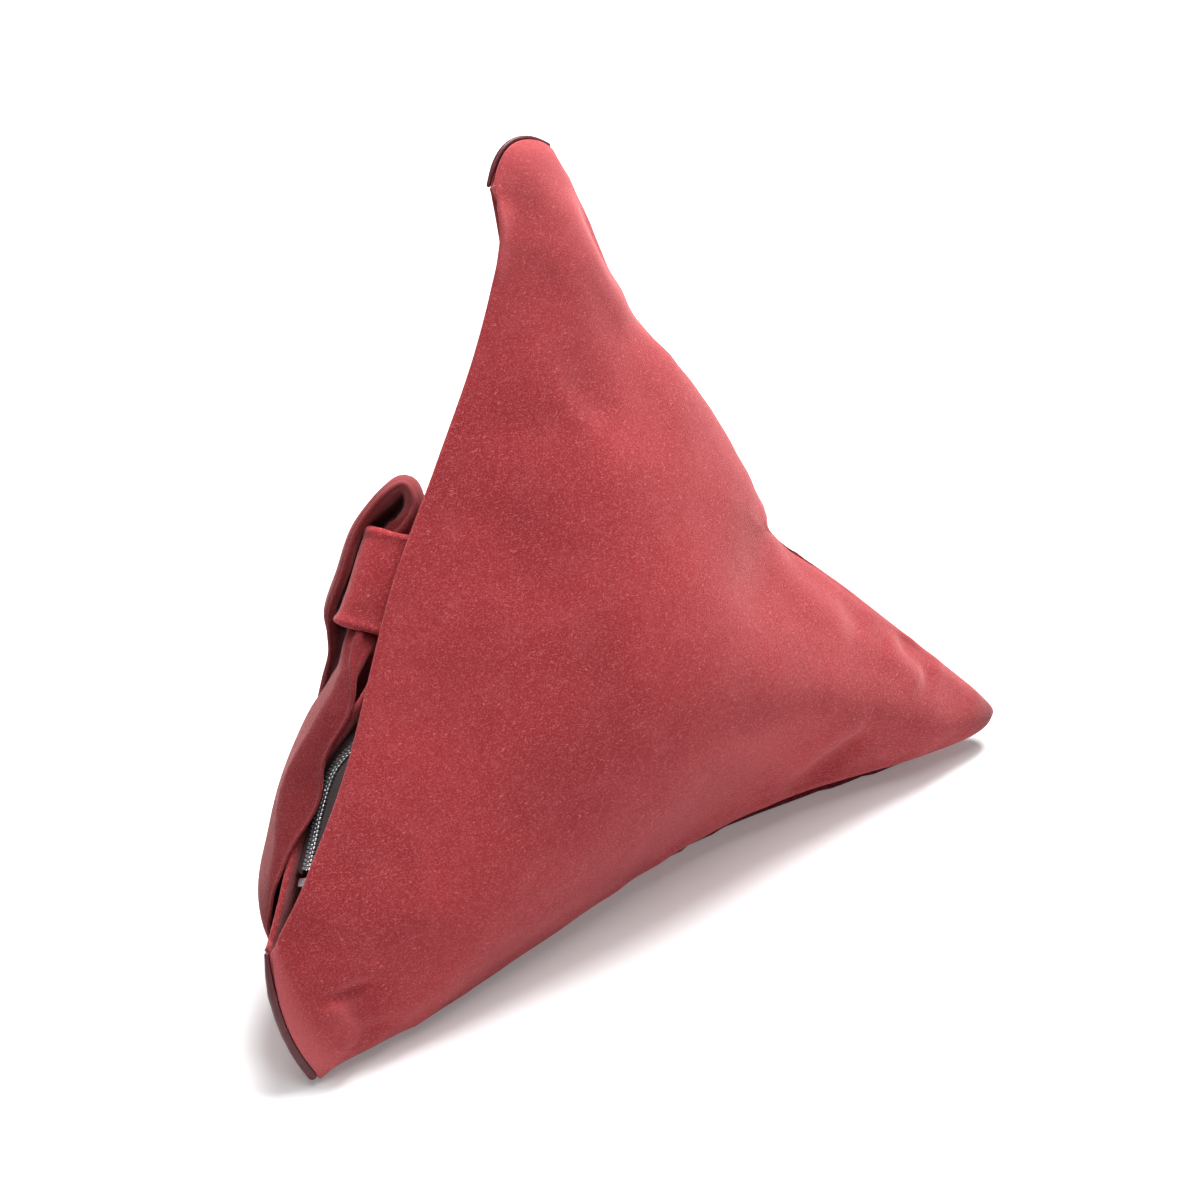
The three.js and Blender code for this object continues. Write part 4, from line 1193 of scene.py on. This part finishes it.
def rangeNode(tree, source, low, high, start, end):
    return addNode(tree, "ShaderNodeMapRange", {0: source, 1: low, 2: high, 3: start, 4: end}).outputs[0]


def noiseNode(tree, vector, scale, detail=2.0, distortion=0.0):
    links = {"Vector": vector, "Scale": scale, "Detail": detail, "Distortion": distortion}
    return addNode(tree, "ShaderNodeTexNoise", links).outputs["Fac"]


def drawnOut(tree, vector, turn, share):
    links = {"Vector": vector, "Rotation": turn, "Scale": (share, 1.0, 1.0)}
    return addNode(tree, "ShaderNodeMapping", links).outputs[0]


def objectSpot(tree):
    return addNode(tree, "ShaderNodeTexCoord").outputs["Object"]


# Nap of suede: soft stroked patches, fine fibres and pale specks
def napGroup():
    tree, given = newGroup("suedeNap", {
        "Base": (0.5, 0.1, 0.1, 1),
        "Light": (0.7, 0.2, 0.2, 1),
        "Dark": (0.3, 0.05, 0.05, 1),
        "Patch": 28.0,
        "Fibre": 900.0,
        "Specks": 0.5,
        "PaleWearAndHighlight": 0.0,
        "TipDark": 0.0,
    })
    light, dark, fine = given["Light"], given["Dark"], given["Fibre"]
    spot = objectSpot(tree)
    patch = noiseNode(tree, spot, given["Patch"], 3.0, 0.6)
    cloud = noiseNode(tree, spot, times(tree, given["Patch"], 5.0), 3.0, 0.4)
    fibre = noiseNode(tree, spot, fine, 3.0, 0.8)
    grain = noiseNode(tree, spot, times(tree, fine, 0.62), 3.0, 0.6)
    wavy = addNode(tree, "ShaderNodeTexNoise", {"Vector": spot, "Scale": 260.0, "Detail": 1.0})
    bent = vectorNode(tree, "SUBTRACT", {0: wavy.outputs["Color"], 1: (0.5, 0.5, 0.5)})
    bent = vectorNode(tree, "SCALE", {0: bent, 3: 0.004})
    bent = vectorNode(tree, "ADD", {0: spot, 1: bent})
    strands = noiseNode(tree, drawnOut(tree, bent, (0.5, 0.9, 0.3), 0.22), times(tree, fine, 1.15), 2.0, 0.5)
    crossed = noiseNode(tree, drawnOut(tree, bent, (1.4, 0.2, 1.1), 0.25), fine, 2.0, 0.5)
    colour = mixColour(tree, times(tree, rampNode(tree, patch, 0.36, 0.64), 0.4), given["Base"], dark)
    colour = mixColour(tree, times(tree, rampNode(tree, cloud, 0.46, 0.76), 0.1), colour, light)
    colour = mixColour(tree, times(tree, rampNode(tree, grain, 0.5, 0.72), 0.42), colour, light)
    speck = mathNode(tree, "MAXIMUM", rampNode(tree, strands, 0.6, 0.7), rampNode(tree, crossed, 0.6, 0.7))
    colour = mixColour(tree, mathNode(tree, "MULTIPLY", speck, given["Specks"], True), colour, light)
    colour = mixColour(tree, times(tree, rampNode(tree, fibre, 0.54, 0.34), 0.75), colour, dark)
    # Pale mix: real wear and raw edges, plus painted highlight on the lit top end, the ridge seam, crease
    # ridges and the loop top
    colour = mixColour(tree, given["PaleWearAndHighlight"], colour, light)
    # Darker towards the far tip
    colour = mixColour(tree, given["TipDark"], colour, (0.1, 0.018, 0.02, 1))
    height = mathNode(tree, "ADD", times(tree, fibre, 0.7), times(tree, strands, 0.5))
    rough = mathNode(tree, "SUBTRACT", 0.97, times(tree, given["TipDark"], 0.25))
    return finishGroup(tree, colour, height, rough)


# Fine leather: small cells with worn patches
def grainGroup():
    tree, given = newGroup("leatherGrain", {
        "Base": (0.1, 0.02, 0.02, 1),
        "Worn": (0.2, 0.05, 0.05, 1),
        "Scale": 900.0,
    })
    spot = objectSpot(tree)
    links = {"Vector": spot, "Scale": given["Scale"]}
    cells = addNode(tree, "ShaderNodeTexVoronoi", links, feature="DISTANCE_TO_EDGE")
    grain = rampNode(tree, cells.outputs["Distance"], 0.0, 0.25)
    smear = noiseNode(tree, spot, 160.0, 4.0, 0.6)
    colour = mixColour(tree, rampNode(tree, smear, 0.5, 0.75), given["Base"], given["Worn"])
    return finishGroup(tree, colour, grain, rangeNode(tree, smear, 0.3, 0.75, 0.26, 0.48))


# Woven cloth: crossed rows of threads
def weaveGroup():
    tree, given = newGroup("clothWeave", {
        "Base": (0.02, 0.01, 0.01, 1),
        "Thread": (0.05, 0.03, 0.03, 1),
        "Scale": 900.0,
    })
    scaled = vectorNode(tree, "SCALE", {0: objectSpot(tree), 3: given["Scale"]})
    x, y, z = addNode(tree, "ShaderNodeSeparateXYZ", {0: scaled}).outputs
    warp = mathNode(tree, "SINE", mathNode(tree, "ADD", x, y))
    weft = mathNode(tree, "SINE", mathNode(tree, "ADD", z, times(tree, y, 0.5)))
    height = rangeNode(tree, times(tree, warp, weft), -1.0, 1.0, 0.0, 1.0)
    colour = mixColour(tree, height, given["Base"], given["Thread"])
    return finishGroup(tree, colour, height, rangeNode(tree, height, 0.0, 1.0, 0.92, 0.78))


def newMaterial(name):
    material = bpy.data.materials.new(name)
    material.use_nodes = True
    tree = material.node_tree
    return material, tree, tree.nodes["Principled BSDF"]


def wireShader(tree, shader, colour, rough, height, bump):
    strength, distance = bump
    relief = addNode(tree, "ShaderNodeBump", {"Height": height, "Strength": strength, "Distance": distance})
    for label, source in (("Base Color", colour), ("Roughness", rough), ("Normal", relief.outputs[0])):
        tree.links.new(source, shader.inputs[label])


def groupMaterial(name, nodes, values, bump):
    material, tree, shader = newMaterial(name)
    group = addNode(tree, "ShaderNodeGroup", values, node_tree=nodes)
    out = group.outputs
    wireShader(tree, shader, out["Colour"], out["Roughness"], out["Height"], bump)
    return material, tree, shader, group


suedeSet = {
    "Base": (0.36, 0.036, 0.042),
    "Light": (0.64, 0.15, 0.16),
    "Dark": (0.2, 0.015, 0.02),
    "fibre": 2700.0,
    "bump": (0.55, 0.0006),
    "sheenRough": 0.4,
    "sheenTint": (1.0, 0.5, 0.5, 1),
    "specular": 0.15,
}
pipingLook = {"Base": (0.075, 0.006, 0.01, 1), "Worn": (0.14, 0.016, 0.022, 1), "Scale": 1100.0}
tapeLook = {"Base": (0.014, 0.007, 0.008, 1), "Thread": (0.04, 0.02, 0.022, 1), "Scale": 5200.0}
liningLook = {"Base": (0.035, 0.01, 0.014, 1), "Thread": (0.07, 0.022, 0.028, 1), "Scale": 7000.0}
nap = napGroup()
weave = weaveGroup()


# The tone factor scales all suede colours: below 1 is painted shade, above 1 painted light
def suedeMaterial(name, patch, specks, paintedLightTone, sheen):
    values = {"Patch": patch, "Fibre": suedeSet["fibre"], "Specks": specks}
    for label in ("Base", "Light", "Dark"):
        values[label] = tuple(part * paintedLightTone for part in suedeSet[label]) + (1,)
    material, tree, shader, group = groupMaterial(name, nap, values, suedeSet["bump"])

    def layer(key):
        return addNode(tree, "ShaderNodeAttribute", attribute_name=key).outputs["Fac"]
    # The pale input carries real wear and raw edges together with painted highlight
    tree.links.new(mathNode(tree, "ADD", layer("wearAndHighlight"), layer("raw"), True), group.inputs["PaleWearAndHighlight"])
    tree.links.new(layer("tipDark"), group.inputs["TipDark"])
    shader.inputs["Sheen Weight"].default_value = sheen
    shader.inputs["Sheen Roughness"].default_value = suedeSet["sheenRough"]
    shader.inputs["Sheen Tint"].default_value = suedeSet["sheenTint"]
    shader.inputs["Specular IOR Level"].default_value = suedeSet["specular"]
    return material


def pipingMaterial():
    material, _, shader, _ = groupMaterial("pipingLeather", grainGroup(), pipingLook, (0.25, 0.0002))
    shader.inputs["Specular IOR Level"].default_value = 0.35
    return material


def wovenMaterial(name, look, depth):
    return groupMaterial(name, weave, look, (0.5, depth))[0]


def metalMaterial():
    material, tree, shader = newMaterial("zipNickel")
    spot = objectSpot(tree)
    fine = noiseNode(tree, drawnOut(tree, spot, (0.3, 0.6, 0.4), 0.15), 4000.0, 2.0)
    smudge = noiseNode(tree, spot, 300.0, 3.0, 0.5)
    colour = mixColour(tree, smudge, (0.36, 0.365, 0.375, 1), (0.6, 0.6, 0.61, 1))
    wireShader(tree, shader, colour, rangeNode(tree, fine, 0.3, 0.7, 0.24, 0.44), fine, (0.1, 0.0001))
    shader.inputs["Metallic"].default_value = 1.0
    return material


def dress(pieces, material):
    for piece in pieces:
        piece.data.materials.clear()
        piece.data.materials.append(material)


dress([backSuede, frontSuede], suedeMaterial("panelSuede", 14.0, 0.8, 1.0, 0.5))
# The sash suede is darkened to half as painted shade, the keeper lightened as painted light
dress([sashSuede], suedeMaterial("sashSuede", 18.0, 0.6, 0.5, 0.3))
dress([keeperSuede], suedeMaterial("keeperSuede", 18.0, 0.8, 1.15, 0.5))
dress(pipings, pipingMaterial())
dress(zipTapes, wovenMaterial("zipTapeCloth", tapeLook, 0.0002))
dress(linings, wovenMaterial("liningCloth", liningLook, 0.0001))
dress(zipTeeth + zipMetal, metalMaterial())
print("materials made")

# Floor, light and the white surround
stageSet = {
    "floorSize": 8.0,
    "floorColour": (0.86, 0.855, 0.86, 1),
    "floorRough": 0.9,
    "floorLift": 0.17,
    "ambient": 0.17,
    "keyPower": 72.0,
    "keySize": 1.0,
    "keyPlace": (-0.56, -0.26, 1.9),
    "fillPower": 21.0,
    "fillSize": 1.5,
    "fillPlace": (0.3, 0.42, 2.2),
    "aim": (0.0, 0.0, 0.1),
}


def areaLight(name, spot, size, power):
    data = bpy.data.lights.new(name, "AREA")
    data.shape = "DISK"
    data.size = size
    data.energy = power
    lamp = bpy.data.objects.new(name, data)
    bpy.context.scene.collection.objects.link(lamp)
    lamp.location = spot
    aim = Vector(stageSet["aim"]) - lamp.location
    lamp.rotation_euler = aim.to_track_quat("-Z", "Y").to_euler()


def seenShare(tree):
    path = addNode(tree, "ShaderNodeLightPath")
    share = mathNode(tree, "MAXIMUM", path.outputs["Is Camera Ray"], path.outputs["Is Glossy Ray"])
    return mathNode(tree, "MAXIMUM", share, path.outputs["Is Transmission Ray"])


def makeStage():
    world = bpy.data.worlds.new("studio")
    bpy.context.scene.world = world
    world.use_nodes = True
    tree = world.node_tree
    background = tree.nodes["Background"]
    background.inputs["Color"].default_value = (1, 1, 1, 1)
    strength = rangeNode(tree, seenShare(tree), 0.0, 1.0, stageSet["ambient"], 1.0)
    tree.links.new(strength, background.inputs["Strength"])
    half = stageSet["floorSize"] / 2
    corners = [(-half, -half, 0), (half, -half, 0), (half, half, 0), (-half, half, 0)]
    mesh = bpy.data.meshes.new("floor")
    mesh.from_pydata(corners, [], [(0, 1, 2, 3)])
    floor = bpy.data.objects.new("floor", mesh)
    bpy.context.scene.collection.objects.link(floor)
    material, tree, shader = newMaterial("floorWhite")
    shader.inputs["Base Color"].default_value = stageSet["floorColour"]
    shader.inputs["Roughness"].default_value = stageSet["floorRough"]
    shader.inputs["Specular IOR Level"].default_value = 0.0
    glow = mathNode(tree, "MULTIPLY", seenShare(tree), stageSet["floorLift"])
    shader.inputs["Emission Color"].default_value = (1, 1, 1, 1)
    tree.links.new(glow, shader.inputs["Emission Strength"])
    mesh.materials.append(material)
    areaLight("keyLight", stageSet["keyPlace"], stageSet["keySize"], stageSet["keyPower"])
    areaLight("fillLight", stageSet["fillPlace"], stageSet["fillSize"], stageSet["fillPower"])


makeStage()
bpy.context.scene.view_settings.view_transform = "Standard"
print("stage made")
